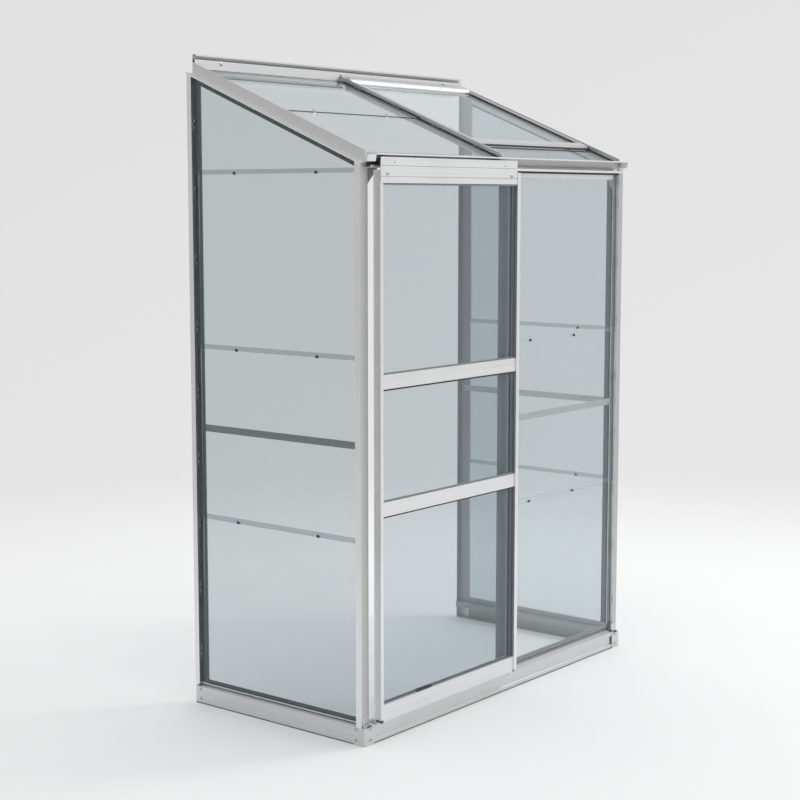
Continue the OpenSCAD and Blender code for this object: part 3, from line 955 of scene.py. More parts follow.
@dataclass
class Base:
    """The sills on the floor, their corner brackets and the bolts through them."""

    workshop: Workshop
    bolt: Fastener = field(default_factory=lambda: Fastener(4.2, 1.0, 5.6, 0.7))
    side_bolts: tuple[Pair, ...] = ((31.0, 44.0), (31.0, 13.0))
    front_bolts: tuple[Pair, ...] = ((26.5, 45.0), (26.5, 14.0))
    rear_bolts: tuple[Pair, ...] = ((633.0, 41.0), (631.0, 15.0))
    # Dark strips at the sills' foot, which paint the contact shadow on the floor: how far they stand off
    # the sills and reach out, then heights and ends.
    contact_shadow_stand: Pair = (0.02, 0.9)
    contact_shadow_foot: float = 0.05
    front_shadow_top: float = 1.9
    front_shadow_inset: float = 8.5
    side_shadow_top: float = 1.7
    side_shadow_start: float = 41.0
    side_shadow_inset: float = 1.0
    # A cap closes the top of each front bracket, and a block stands on it, up to the sill's top.
    cap_inset: float = 2.1
    cap_end: float = 34.4
    cap_back: float = 10.9
    cap_drop: Pair = (0.2, 1.6)
    block_inset: float = 1.5
    block_depth: Pair = (10.2, 22.0)
    block_drop: float = 0.1

    def build(self) -> None:
        """Dresses the sills and brackets and adds the bolts."""
        shop = self.workshop
        shop.dress("front_sill", FRONT_SILL_METAL)
        for side in ("left", "right"):
            # The right sill gets painted shade on its room side.
            sill_finish = ALUMINIUM[Axis.Y] if side == "left" else INNER_SHADED_ALUMINIUM[Axis.Y]
            shop.dress(f"{side}_sill", sill_finish)
            shop.dress(f"front_{side}_bracket", ALUMINIUM[Axis.Z])
            shop.dress(f"rear_{side}_bracket", ALUMINIUM[Axis.Z])
            self._bolts(side)
        self._contact_shadow()
        self._corner_caps()

    def _contact_shadow(self) -> None:
        """Adds thin dark strips at the foot of the front and side sills' outer faces, which paint the
        contact shadow on the floor.
        """
        near, far = self.contact_shadow_stand
        low, high = self.workshop.datum.box("front_sill")
        shape = Shape()
        shape.prism(
            Axis.X, (low.x + self.front_shadow_inset, high.x - self.front_shadow_inset),
            bead((low.y - far, self.contact_shadow_foot), (low.y - near, self.front_shadow_top)),
        )
        for side, out in (("left", -1.0), ("right", 1.0)):
            sill_low, sill_high = self.workshop.datum.box(f"{side}_sill")
            face = sill_low.x if side == "left" else sill_high.x
            sides = sorted((face + out * far, face + out * near))
            shape.prism(
                Axis.Y, (self.side_shadow_start, sill_high.y - self.side_shadow_inset),
                bead((sides[0], self.contact_shadow_foot), (sides[1], self.side_shadow_top)),
            )
        self.workshop.piece("sill_contact_shadow", shape, GLAZING_RUBBER)

    def _corner_caps(self) -> None:
        """Adds the small plates that close the corners between the brackets and the posts."""
        shape = Shape()
        low, high = self.workshop.datum.box("front_left_bracket")
        sill_top = self.workshop.datum.box("front_sill")[1].z
        start = low.x + self.cap_inset
        upper, lower = (high.z - drop for drop in self.cap_drop)
        front, back = self.block_depth
        for x0, x1 in ((start, self.cap_end), (WIDTH - self.cap_end, WIDTH - start)):
            shape.prism(Axis.X, (x0, x1), bead((low.y + self.cap_inset, lower), (self.cap_back, upper)))
            shape.prism(
                Axis.X, (x0 + self.block_inset, x1 - self.block_inset),
                bead((front, upper), (back, sill_top - self.block_drop)),
            )
        self.workshop.piece("sill_corner_caps", shape, ALUMINIUM[Axis.X])

    def _bolts(self, side: str) -> None:
        """Adds the bolts of one side.

        Args:
            side: "left" or "right".
        """
        shop = self.workshop
        low, high = shop.datum.box(f"front_{side}_bracket")
        sill_low, sill_high = shop.datum.box(f"{side}_sill")
        left = side == "left"
        out = (-1.0, 0.0, 0.0) if left else (1.0, 0.0, 0.0)
        shape = Shape()
        for y, z in self.side_bolts:
            self.bolt.add(shape, (low.x if left else high.x, y, z), out)
        for x, z in self.front_bolts:
            self.bolt.add(shape, (x if left else WIDTH - x, low.y, z), TO_FRONT)
        shop.piece(f"front_{side}_bracket_bolts", shape, BOLT_ALUMINIUM)
        shape = Shape()
        for y, z in self.rear_bolts:
            self.bolt.add(shape, (sill_low.x if left else sill_high.x, y, z), out)
        shop.piece(f"rear_{side}_sill_bolts", shape, BOLT_ALUMINIUM)


@dataclass
class SheetRow:
    """Heights of the lapped sheets of the upright glass."""

    foot: float = 63.0
    pitch: float = 494.05
    lap: float = 13.0
    count: int = 3
    lean: float = 3.2
    clearance: float = 0.05
    least_gap: float = 0.06
    lap_gap: float = 0.3

    def gap(self, index: int, z: float) -> float:
        """How thick a strip behind a sheet may be.

        Args:
            index: The sheet's number from the foot.
            z: The height.

        Returns:
            The room between the sheet's inner face and its seat, less the clearance.
        """
        start = self.foot + index * self.pitch
        lean = self.lean * (1 - (z - start) / (self.pitch + self.lap))
        return max(self.least_gap, lean - self.clearance)

    def spans(self) -> list[tuple[int, float, float]]:
        """Where the seats are open.

        Returns:
            Each sheet's number and the heights between which its seat is open.
        """
        rows = []
        for i in range(self.count):
            start = self.foot + i * self.pitch + (self.lap + self.lap_gap if i else 0.0)
            rows.append((i, start, self.foot + (i + 1) * self.pitch + self.lap))
        return rows


@dataclass
class UprightGlazing:
    """The glass of the sides and front, its rubber strips, wire clips and lap clips."""

    workshop: Workshop
    rows: SheetRow = field(default_factory=SheetRow)
    # The seats' faces, and where the strips on the posts end and those of the gable begin.
    seat: float = 15.0
    front_seat: float = 26.0
    gable_low: float = 1558.3
    gable_gap: float = 3.1
    gable_level: float = -1.5
    post_top: float = 1557.0
    # Strips on a side's seats, measured from the glass's edge at the post or at the wall.
    dark_by_post: Pair = (0.0, 3.0)
    slate_by_post: Pair = (3.1, 7.4)
    slate_by_wall: Pair = (-26.4, -15.5)
    dark_by_wall: Pair = (-11.0, 0.0)
    between_posts: Pair = (8.2, -27.2)
    # Strips along the sill, up from the sheet's foot, and levels of those under the roof bar.
    side_foot: Pair = (2.4, 2.5)
    gable_slate: Pair = (-19.0, -2.9)
    gable_dark: Pair = (-2.8, -0.8)
    # The same for the front, from the glass's left and right edges.
    front_dark_left: Pair = (0.0, 3.5)
    front_slate_left: Pair = (3.6, 13.4)
    front_slate_right: Pair = (-9.0, -2.0)
    front_top: float = 6.5
    front_inset: float = 14.5
    front_foot: Pair = (2.0, 2.1)
    # Spring clips. A lean is where the wire starts, and its shift for each millimetre outwards.
    clip_spacing: float = 172.0
    clip_length: float = 34.0
    clip_wire: float = 0.75
    clip_gap: float = 0.6
    side_clip_reach: float = 6.5
    side_clip_lean: Pair = (5.2, 0.33)
    side_clip_drop: float = -40.0
    front_clip_reach: float = 6.0
    front_clip_lean: Pair = (14.6, 0.45)
    gable_clips: int = 4
    gable_clip_level: float = -1.2
    # Lap clips and their places along the glass.
    lap_clip_width: float = 8.0
    side_lap_clips: Pair = (171.0, 474.0)
    front_lap_clips: Pair = (811.0, 1053.0)

    def build(self) -> None:
        """Dresses the glass and adds what holds it."""
        shop = self.workshop
        for side, finish in (("left", SIDE_GLASS), ("right", SIDE_GLASS), ("front", FRONT_GLASS)):
            shop.dress(f"{side}_glass", finish, Slot.GLASS)
        for side in ("left", "right"):
            self._side_rubber(side)
            self._side_clips(side)
            self._side_lap_clips(side)
        self._front_rubber()
        self._front_clips()
        self._front_lap_clips()

    def _mirror(self, side: str, x: float) -> float:
        """An x measured from the left side, moved to the given side."""
        return x if side == "left" else WIDTH - x

    def _wedges(
        self, shape: Shape, axis: Axis, ends: Pair, seat: float, away: float, top: float
    ) -> None:
        """Fills the gap between the leaning sheets and a seat over part of the seat's width.

        Args:
            shape: The shape that the strips join.
            axis: The direction across the seat.
            ends: The part of the seat's width.
            seat: The seat's face.
            away: 1 or -1, the way from the seat to the glass.
            top: Where the strips stop.
        """
        for index, z0, z1 in self.rows.spans():
            z1 = min(z1, top)
            outer = [(seat + away * self.rows.gap(index, z), z) for z in (z0, z1)]
            shape.prism(axis, ends, [(seat, z0), outer[0], outer[1], (seat, z1)])

    def _side_rubber(self, side: str) -> None:
        """Adds the strips between a side's glass and its seats: black rubber, and slate strips that are
        partly rubber and partly painted shade of the seats.

        Args:
            side: "left" or "right".
        """
        low, high = self.workshop.datum.box(f"{side}_glass")
        seat = self._mirror(side, self.seat)
        away = -1.0 if side == "left" else 1.0
        outer = seat + away * self.gable_gap
        sill_top = self.workshop.datum.box(f"{side}_sill")[1].z
        dark, slate = Shape(), Shape()
        for shape, edge, (start, end) in (
            (dark, low.y, self.dark_by_post), (slate, low.y, self.slate_by_post),
            (slate, high.y, self.slate_by_wall), (dark, high.y, self.dark_by_wall),
        ):
            ends = (edge + start, edge + end)
            self._wedges(shape, Axis.Y, ends, seat, away, self.post_top)
            top = SLOPE.height(ends[0], self.gable_level)
            shape.prism(
                Axis.Y, ends, [(seat, self.gable_low), (outer, self.gable_low), (outer, top), (seat, top)]
            )
        inner = (low.y + self.between_posts[0], high.y + self.between_posts[1])
        self._foot_strips(dark, slate, Axis.Y, inner, (seat, away), self.side_foot, sill_top)
        for shape, (level0, level1) in ((slate, self.gable_slate), (dark, self.gable_dark)):
            shape.loft(
                Axis.Y,
                [
                    (y, [
                        (seat, SLOPE.height(y, level0)), (outer, SLOPE.height(y, level0)),
                        (outer, SLOPE.height(y, level1)), (seat, SLOPE.height(y, level1)),
                    ])
                    for y in inner
                ],
            )
        self.workshop.piece(f"{side}_glazing_rubber", dark, GLAZING_RUBBER)
        self.workshop.piece(f"{side}_seat_rubber", slate, SEAT_SHADE_RUBBER)

    def _foot_strips(
        self, dark: Shape, slate: Shape, axis: Axis, ends: Pair, seat: Pair, heights: Pair, sill_top: float
    ) -> None:
        """Adds the dark and the slate strip behind the foot of the lowest sheet; the slate one partly
        paints the seat's shade.

        Args:
            dark: The shape that the lower strip joins.
            slate: The shape that the upper strip joins.
            axis: The direction along which they run.
            ends: Where they start and end.
            seat: The seat's face, and 1 or -1 for the way from it to the glass.
            heights: Where the lower one ends and the upper one starts, up from the sheet's foot.
            sill_top: Where the upper one ends.
        """
        face, away = seat
        foot = self.rows.foot
        for shape, z0, z1 in ((dark, foot, foot + heights[0]), (slate, foot + heights[1], sill_top)):
            outer = [face + away * self.rows.gap(0, z) for z in (z0, z1)]
            shape.prism(axis, ends, [(face, z0), (outer[0], z0), (outer[1], z1), (face, z1)])

    def _clip_path(self, reach: float) -> list[Pair]:
        """The line of a W-shaped spring clip.

        Args:
            reach: How far it stands out.

        Returns:
            Its points as (along, out) pairs.
        """
        half = self.clip_length / 2
        return [
            (-half, 0.5), (-half * 0.86, reach * 0.7), (-half * 0.55, reach), (-half * 0.3, reach * 0.55),
            (0.0, 0.3), (half * 0.3, reach * 0.55), (half * 0.55, reach), (half * 0.86, reach * 0.7),
            (half, 0.5),
        ]

    def _heights(self, top: float) -> list[float]:
        """The heights of the clips of one post.

        Args:
            top: Where the glass ends.

        Returns:
            The heights, evenly spread.
        """
        count = int((top - self.rows.foot) // self.clip_spacing)
        gap = (top - self.rows.foot) / count
        return [self.rows.foot + gap * (i + 0.5) for i in range(count)]

    def _side_clips(self, side: str) -> None:
        """Adds a side's wire clips beside its posts and under its roof bar.

        Args:
            side: "left" or "right".
        """
        shape = Shape()
        low, high = self.workshop.datum.box(f"{side}_glass")
        line = [
            (along, out, self._mirror(side, self.side_clip_lean[0] + self.side_clip_lean[1] * out))
            for along, out in self._clip_path(self.side_clip_reach)
        ]
        for edge, inward in ((high.y, -1.0), (low.y, 1.0)):
            for z in self._heights(SLOPE.height(edge, self.side_clip_drop)):
                path = [(x, edge + inward * (out + self.clip_gap), z + along) for along, out, x in line]
                shape.wire(curve_through(path), self.clip_wire)
        for i in range(self.gable_clips):
            y = low.y + (high.y - low.y) * (i + 0.5) / self.gable_clips
            path = [
                (x, y + along * math.cos(ROOF_PITCH),
                 SLOPE.height(y + along * math.cos(ROOF_PITCH), self.gable_clip_level - out))
                for along, out, x in line
            ]
            shape.wire(curve_through(path), self.clip_wire)
        self.workshop.piece(f"{side}_spring_clips", shape, CLIP_WIRE)

    def _side_lap_clips(self, side: str) -> None:
        """Adds the folded clips on which a side's upper sheets stand.

        Args:
            side: "left" or "right".
        """
        shape = Shape()
        half = self.lap_clip_width / 2
        for i in range(1, self.rows.count + 1):
            outline = [(self._mirror(side, x), z) for x, z in self._lap_outline(i)]
            for y in self.side_lap_clips:
                shape.prism(Axis.Y, (y - half, y + half), outline)
        self.workshop.piece(f"{side}_lap_clips", shape, DARK_CLIP)

    def _lap_outline(self, index: int) -> list[Pair]:
        """The section of the folded clip under a sheet, with the seat where the side's is.

        Args:
            index: The sheet's number from the foot.

        Returns:
            The outline's corners, the way out from the room first and the height second.
        """
        foot = self.rows.foot + index * self.rows.pitch
        low_sheet = self.seat - GLASS_THICKNESS
        outer = low_sheet - LAP_GAP - GLASS_THICKNESS
        return [
            (outer - 1.0, foot + 6.5), (outer - 1.4, foot - 1.4), (low_sheet - 0.04, foot - 1.4),
            (low_sheet - 0.04, foot + 3.0), (low_sheet - 0.16, foot + 3.0), (low_sheet - 0.16, foot - 0.1),
            (outer - 0.1, foot - 0.1), (outer - 0.1, foot + 6.5),
        ]

    def _front_rubber(self) -> None:
        """Adds the strips between the front glass and its seats, the slate ones partly painting the seats'
        shade.
        """
        low, high = self.workshop.datum.box("front_glass")
        sill_top = self.workshop.datum.box("front_sill")[1].z
        dark, slate = Shape(), Shape()
        for shape, edge, (start, end) in (
            (dark, low.x, self.front_dark_left), (slate, low.x, self.front_slate_left),
            (slate, high.x, self.front_slate_right),
        ):
            ends = (edge + start, edge + end)
            self._wedges(shape, Axis.X, ends, self.front_seat, -1.0, high.z - self.front_top)
        inner = (low.x + self.front_inset, high.x - self.front_inset)
        seat = (self.front_seat, -1.0)
        self._foot_strips(dark, slate, Axis.X, inner, seat, self.front_foot, sill_top)
        self.workshop.piece("front_glazing_rubber", dark, GLAZING_RUBBER)
        self.workshop.piece("front_seat_rubber", slate, PALE_SEAT_SHADE_RUBBER)

    def _front_clips(self) -> None:
        """Adds the wire clips beside the door post and the right post."""
        shape = Shape()
        low, high = self.workshop.datum.box("front_glass")
        start, lean = self.front_clip_lean
        for edge, inward in ((low.x, 1.0), (high.x, -1.0)):
            for z in self._heights(high.z):
                path = [
                    (edge + inward * (out + self.clip_gap), start + lean * out, z + along)
                    for along, out in self._clip_path(self.front_clip_reach)
                ]
                shape.wire(curve_through(path), self.clip_wire)
        self.workshop.piece("front_spring_clips", shape, CLIP_WIRE)

    def _front_lap_clips(self) -> None:
        """Adds the folded clips on which the upper front sheets stand."""
        shape = Shape()
        half = self.lap_clip_width / 2
        for i in range(1, self.rows.count):
            outline = [(y + self.front_seat - self.seat, z) for y, z in self._lap_outline(i)]
            for x in self.front_lap_clips:
                shape.prism(Axis.X, (x - half, x + half), outline)
        self.workshop.piece("front_lap_clips", shape, DARK_CLIP)


@dataclass
class Slope:
    """The plane of the roof."""

    pitch: float = ROOF_PITCH
    eaves: float = 1567.156

    def height(self, y: float, level: float = 0.0) -> float:
        """The height at y of the plane that lies a level above the roof bars' underside."""
        return self.eaves + y * math.tan(self.pitch) + level / math.cos(self.pitch)

    def strip(self, y0: float, y1: float, level0: float, level1: float) -> list[Pair]:
        """The section of a strip that lies along the slope.

        Args:
            y0: Where it starts.
            y1: Where it ends.
            level0: The level of its underside.
            level1: The level of its top.

        Returns:
            The outline's corners in y and z.
        """
        return [
            (y0, self.height(y0, level0)), (y1, self.height(y1, level0)),
            (y1, self.height(y1, level1)), (y0, self.height(y0, level1)),
        ]


SLOPE = Slope()


@dataclass
class Posts:
    """The upright bars, the braces between them and the gussets below the gutter."""

    workshop: Workshop
    wall_screw: Fastener = field(default_factory=lambda: Fastener(4.4, 2.0, 5.6, 0.6))
    stay_bolt: Fastener = field(default_factory=lambda: Fastener(4.2, 2.4, 5.0, 0.7))
    screw_heights: tuple[float, ...] = (250.0, 850.0, 1450.0)
    screw_inset: float = 23.5
    post_wall: float = 2.0
    # Strips on the door post, which paint the door's shadow on its face and the light seen through the gap
    # beside it: heights, standing off its face, and sides from the post's own.
    strip_heights: Pair = (66.0, 1536.0)
    strip_stand: Pair = (0.05, 1.0)
    shadow_sides: Pair = (-24.0, -13.0)
    edge_sides: Pair = (-12.4, -0.2)
    # Strips on the room side of the right post.
    seal_heights: Pair = (75.0, 1550.0)
    seal_insets: Pair = (20.9, 19.0)
    dark_seal: Pair = (31.5, 44.0)
    slate_seal: Pair = (44.2, 59.0)
    # Bolts of the braces and gussets, from the stays' own edges, and the catch hook.
    bolt_inset: float = 9.0
    gusset_bolt_drop: float = 16.0
    gusset_bolt_rise: float = 14.0
    gusset_corner_bolt: Pair = (44.0, 12.0)
    hook_place: Point = (31.0, 19.0, 1410.0)
    hook_wire: float = 1.3

    def build(self) -> None:
        """Dresses the bars and adds their screws and bolts."""
        shop = self.workshop
        for node in ("front_left_post", "door_post", "left_wall_post"):
            shop.dress(node, POST_METAL)
        shop.dress("front_right_post", RIGHT_POST_METAL)
        # Painted shade on the right wall post's room side.
        shop.dress("right_wall_post", INNER_SHADED_ALUMINIUM[Axis.Z])
        for side in ("left", "right"):
            shop.dress(f"{side}_brace", STAY_METAL[Axis.Y], Slot.STAY)
            shop.dress(f"{side}_gusset", SHADED_GUSSET_METAL, Slot.STAY)
        shop.dress("front_brace", STAY_METAL[Axis.X], Slot.STAY)
        self._wall_screws()
        self._stay_bolts()
        self._catch()
        self._door_post_strip()
        self._right_post_seal()

    def _door_post_strip(self) -> None:
        """Adds the strip that paints the door's shadow on the door post's face, and the pale strip beside
        it that paints the light seen through the gap.
        """
        low, high = self.workshop.datum.box("door_post")
        front, back = (low.y - stand for stand in reversed(self.strip_stand))
        for name, x0, x1, finish in (
            ("door_post_shade_strip", low.x + self.shadow_sides[0], high.x + self.shadow_sides[1], PALE_SEAT_SHADE_RUBBER),
            ("door_post_edge", high.x + self.edge_sides[0], high.x + self.edge_sides[1], PALE_GAP_LIGHT),
        ):
            shape = Shape()
            shape.prism(Axis.Z, self.strip_heights, bead((x0, front), (x1, back)))
            self.workshop.piece(name, shape, finish)

    def _right_post_seal(self) -> None:
        """Adds the two strips on the room side of the right post, along the side glass: a dark seal, and a
        slate strip that partly paints the seat's shade.
        """
        x0, x1 = (WIDTH - inset for inset in self.seal_insets)
        for name, (y0, y1), finish in (
            ("right_post_seal", self.dark_seal, GLAZING_RUBBER),
            ("right_post_strip", self.slate_seal, SEAT_SHADE_RUBBER),
        ):
            shape = Shape()
            shape.prism(Axis.Z, self.seal_heights, bead((x0, y0), (x1, y1)))
            self.workshop.piece(name, shape, finish)

    def _wall_screws(self) -> None:
        """Adds the screws that hold the wall posts to the wall."""
        shape = Shape()
        face = self.workshop.datum.box("left_wall_post")[1].y - self.post_wall
        for x in (self.screw_inset, WIDTH - self.screw_inset):
            for z in self.screw_heights:
                self.wall_screw.add(shape, (x, face, z), TO_FRONT)
        self.workshop.piece("wall_post_screws", shape, BOLT_STEEL)

    def _stay_bolts(self) -> None:
        """Adds the bolts at the ends of the braces and on the gussets."""
        shape = Shape()
        datum = self.workshop.datum
        inset = self.bolt_inset
        to_wall = (0.0, 1.0, 0.0)
        across, drop = self.gusset_corner_bolt
        for side, inward in (("left", 1.0), ("right", -1.0)):
            low, high = datum.box(f"{side}_brace")
            face = high.x if side == "left" else low.x
            for y in (low.y + inset, high.y - inset):
                self.stay_bolt.add(shape, (face, y, (low.z + high.z) / 2), (inward, 0.0, 0.0))
            low, high = datum.box(f"{side}_gusset")
            x = low.x + inset if side == "left" else high.x - inset
            for z in (high.z - self.gusset_bolt_drop, low.z + self.gusset_bolt_rise):
                self.stay_bolt.add(shape, (x, high.y, z), to_wall)
            self.stay_bolt.add(shape, (x + inward * across, high.y, high.z - drop), to_wall)
        low, high = datum.box("front_brace")
        for x in (low.x + inset, high.x - inset):
            self.stay_bolt.add(shape, (x, high.y, (low.z + high.z) / 2), to_wall)
        self.workshop.piece("stay_bolts", shape, BOLT_STEEL, slot=Slot.STAY)

    def _catch(self) -> None:
        """Adds the small hook on the door post that holds the door shut."""
        shape = Shape()
        low, _ = self.workshop.datum.box("door_post")
        right, back, z = self.hook_place
        x, y = low.x + right, low.y + back
        plate = [(x, y - 2), (x, y + 3), (x - 1.5, y + 3), (x - 1.5, y - 2)]
        shape.prism(Axis.Z, (z - 11.0, z + 11.0), plate)
        bends = ((1.0, 8.0), (7.0, 7.0), (9.0, 1.0), (8.0, -6.0), (4.5, -8.0))
        path = [(x - out, y, z + up) for out, up in bends]
        shape.wire(curve_through(path), self.hook_wire, 10)
        self.workshop.piece("door_catch_hook", shape, CLIP_WIRE)


@dataclass
class Roof:
    """The wall bar, roof bars, gutter and roof glass, with their rubber, clips and screws."""

    workshop: Workshop
    # Levels are heights above the roof bars' underside, at right angles to the slope.
    glass_top: float = 15.0
    lap_y: float = 325.0
    lap_lift: float = 3.3
    # Beads beside the roof bars: under and over levels, and distances from the glass's ends.
    bead_width: float = 3.2
    bead_levels: Pair = (0.1, 2.2)
    bead_ends: Pair = (1.0, 12.0)
    eaves_bead_end: float = 126.0
    # Gutter: the outline of its end plates, its screws, and the dark strip that paints its lip's shadow on
    # the front glass.
    gutter_end: tuple[Pair, ...] = ((-19.5, 1574.0), (10.0, 1574.0), (10.0, 1592.5), (-23.3, 1592.5))
    gutter_plate: float = 1.5
    gutter_plate_inset: float = 0.3
    gutter_screw: Fastener = field(default_factory=lambda: Fastener(3.0, 1.6, 4.2, 0.5))
    gutter_screw_x: float = 1034.0
    gutter_screw_inset: float = 3.0
    gutter_screw_seat: Pair = (3.0, 1558.1)
    gutter_shadow_inset: float = 0.5
    gutter_shadow_depth: Pair = (18.2, 22.9)
    gutter_shadow_drop: Pair = (5.6, 0.1)
    # Nosings of the two end bars.
    nosing_centre: float = 1.25
    nosing_level: float = -1.4
    nosing_radii: Pair = (1.2, 3.3)
    nosing_ends: Pair = (11.2, 648.6)
    nosing_steps: int = 14
    # Rubber at the wall bar, and a grey strip above it that paints the shade of the gap under the bar. A
    # strip is two places in y and two levels.
    ledge_inset: float = 16.0
    ledge_strip: tuple[float, ...] = (619.8, 624.9, -1.0, 5.0)
    gap_shade_inset: float = 1.0
    gap_shade_low: Pair = (643.2, 1829.0)
    gap_shade_high: Pair = (648.8, 1842.8)
    wall_screw: Fastener = field(default_factory=lambda: Fastener(4.6, 1.6, 6.2, 0.6))
    screw_places: tuple[float, ...] = (131.0, 660.0, 1189.0)
    screw_drop: float = 22.0
    screw_face: float = BASE_DEPTH - 10.0
    # Lap clips and spring clips. The outline is along the edge, then away from it.
    lap_clip_places: Pair = (178.0, 500.0)
    lap_clip_width: float = 8.0
    clips_per_edge: int = 4
    clip_inset: float = 3.4
    clip_wire: float = 0.75
    clip_reach: float = 6.0
    clip_outline: tuple[Pair, ...] = (
        (-14, 0.2), (-12, 4.2), (-7, 6.0), (-4, 3.3), (0, 0.3), (4, 3.3), (7, 6.0), (12, 4.2), (14, 0.2),
    )

    def build(self) -> None:
        """Dresses the bars and glass, and adds what seals and holds the panes."""
        shop = self.workshop
        shop.dress("eaves_gutter", GUTTER_METAL)
        shop.dress("wall_bar", WALL_BAR_METAL)
        shop.dress("left_roof_bar", LEFT_BAR_METAL)
        shop.dress("middle_roof_bar", ALUMINIUM[Axis.Y])
        shop.dress("right_roof_bar", ALUMINIUM[Axis.Y])
        for node in ("roof_glass", "eaves_glass"):
            shop.dress(node, ROOF_GLASS, Slot.GLASS)
        self._edge_rubber()
        self._bar_nosings()
        self._wall_bar_rubber()
        self._screws()
        self._lap_clips()
        self._clips()
        self._gutter_fittings()

    def _lift(self, y: float, top: float) -> float:
        """How far the upper sheet's top lies above the lower one's, as it leans on the lap.

        Args:
            y: The place along the slope.
            top: Where the sheet ends at the wall.

        Returns:
            The lift, at right angles to the slope.
        """
        return self.lap_lift * (top - y) / (top - self.lap_y)

    def _edge_rubber(self) -> None:
        """Adds the rubber beads on the glass beside the roof bars."""
        shape = Shape()
        low, high = self.workshop.datum.box("roof_glass")
        eaves_low, eaves_high = self.workshop.datum.box("eaves_glass")
        start, end = self.bead_ends
        under, over = self.bead_levels
        levels = (self.glass_top + under, self.glass_top + over)
        lower, upper = (low.y + start, self.lap_y - start), (self.lap_y + start, high.y - end)
        edges = ((low.x, low.x + self.bead_width), (high.x - self.bead_width, high.x))
        for ends in edges:
            shape.prism(Axis.X, ends, SLOPE.strip(*lower, *levels))
            bottom = [(y, self.glass_top + self._lift(y, high.y) + under) for y in upper]
            top = [(y, level + over - under) for y, level in reversed(bottom)]
            shape.prism(Axis.X, ends, [(y, SLOPE.height(y, level)) for y, level in bottom + top])
        edges = (
            (eaves_low.x, eaves_low.x + self.bead_width), (eaves_high.x - self.bead_width, eaves_high.x)
        )
        for ends in edges:
            shape.prism(Axis.X, ends, SLOPE.strip(eaves_low.y + start, self.eaves_bead_end, *levels))
        self.workshop.piece("roof_edge_rubber", shape, GLAZING_RUBBER)

    def _bar_nosings(self) -> None:
        """Adds the rounded edge along the outer side of each end bar, in a near-white tone that paints its
        highlight.
        """
        shape = Shape()
        across, up = self.nosing_radii
        for centre in (self.nosing_centre, WIDTH - self.nosing_centre):
            shape.rings(
                [
                    [
                        Vector((
                            centre + across * math.cos(a), y,
                            SLOPE.height(y, self.nosing_level + up * math.sin(a)),
                        ))
                        for a in turns(self.nosing_steps)
                    ]
                    for y in self.nosing_ends
                ]
            )
        self.workshop.piece("roof_bar_nosings", shape, HIGHLIGHT_EDGE_METAL)

    def _wall_bar_rubber(self) -> None:
        """Adds the rubber between the wall bar's ledge and the head of the glass, and a grey strip above it
        that paints the shade of the gap under the bar.
        """
        low, high = self.workshop.datum.box("roof_glass")
        gap_shade, ledge = Shape(), Shape()
        # Painted shade: the grey strip stands for the shaded gap under the wall bar.
        gap_shade.prism(
            Axis.X, (low.x + self.gap_shade_inset, high.x - self.gap_shade_inset),
            bead(self.gap_shade_low, self.gap_shade_high),
        )
        self.workshop.piece("wall_bar_gap_shade", gap_shade, PALE_SEAT_SHADE_RUBBER)
        ledge.prism(
            Axis.X, (low.x + self.ledge_inset, high.x - self.ledge_inset), SLOPE.strip(*self.ledge_strip)
        )
        self.workshop.piece("wall_bar_rubber", ledge, GLAZING_RUBBER)

    def _screws(self) -> None:
        """Adds the screws that hold the wall bar to the wall."""
        shape = Shape()
        _, high = self.workshop.datum.box("wall_bar")
        for x in self.screw_places:
            self.wall_screw.add(shape, (x, self.screw_face, high.z - self.screw_drop), TO_FRONT)
        self.workshop.piece("wall_bar_screws", shape, BOLT_STEEL)

    def _lap_clips(self) -> None:
        """Adds the folded clips on which the upper roof sheet stands."""
        shape = Shape()
        lower_top = self.glass_top
        upper_top = lower_top + LAP_GAP + 2 * GLASS_THICKNESS
        half = self.lap_clip_width / 2
        for x in self.lap_clip_places:
            outline = [
                (self.lap_y - 1.3, lower_top + 0.05), (self.lap_y + 3.0, lower_top + 0.05),
                (self.lap_y + 3.0, lower_top + 0.14), (self.lap_y - 0.1, lower_top + 0.14),
                (self.lap_y - 0.1, upper_top + 0.1), (self.lap_y + 6.0, upper_top + 0.1),
                (self.lap_y + 6.0, upper_top + 0.9), (self.lap_y - 1.3, upper_top + 0.9),
            ]
            section = [(y, SLOPE.height(y, level)) for y, level in outline]
            shape.prism(Axis.X, (x - half, x + half), section)
        self.workshop.piece("roof_lap_clips", shape, BOLT_STEEL)

    def _clips(self) -> None:
        """Adds the wire clips that press the roof glass on its seats."""
        shape = Shape()
        low, high = self.workshop.datum.box("roof_glass")
        for edge, inward in ((low.x + self.clip_inset, 1.0), (high.x - self.clip_inset, -1.0)):
            for i in range(self.clips_per_edge):
                y = low.y + (high.y - low.y) * (i + 0.55) / self.clips_per_edge
                level = self.glass_top + (self._lift(y, high.y) if y > self.lap_y else 0) + 1.0
                path = [
                    (
                        edge + inward * out, y + along,
                        SLOPE.height(y + along, level + (self.clip_reach - out) * 0.5),
                    )
                    for along, out in self.clip_outline
                ]
                shape.wire(curve_through(path), self.clip_wire)
        self.workshop.piece("roof_spring_clips", shape, CLIP_WIRE)

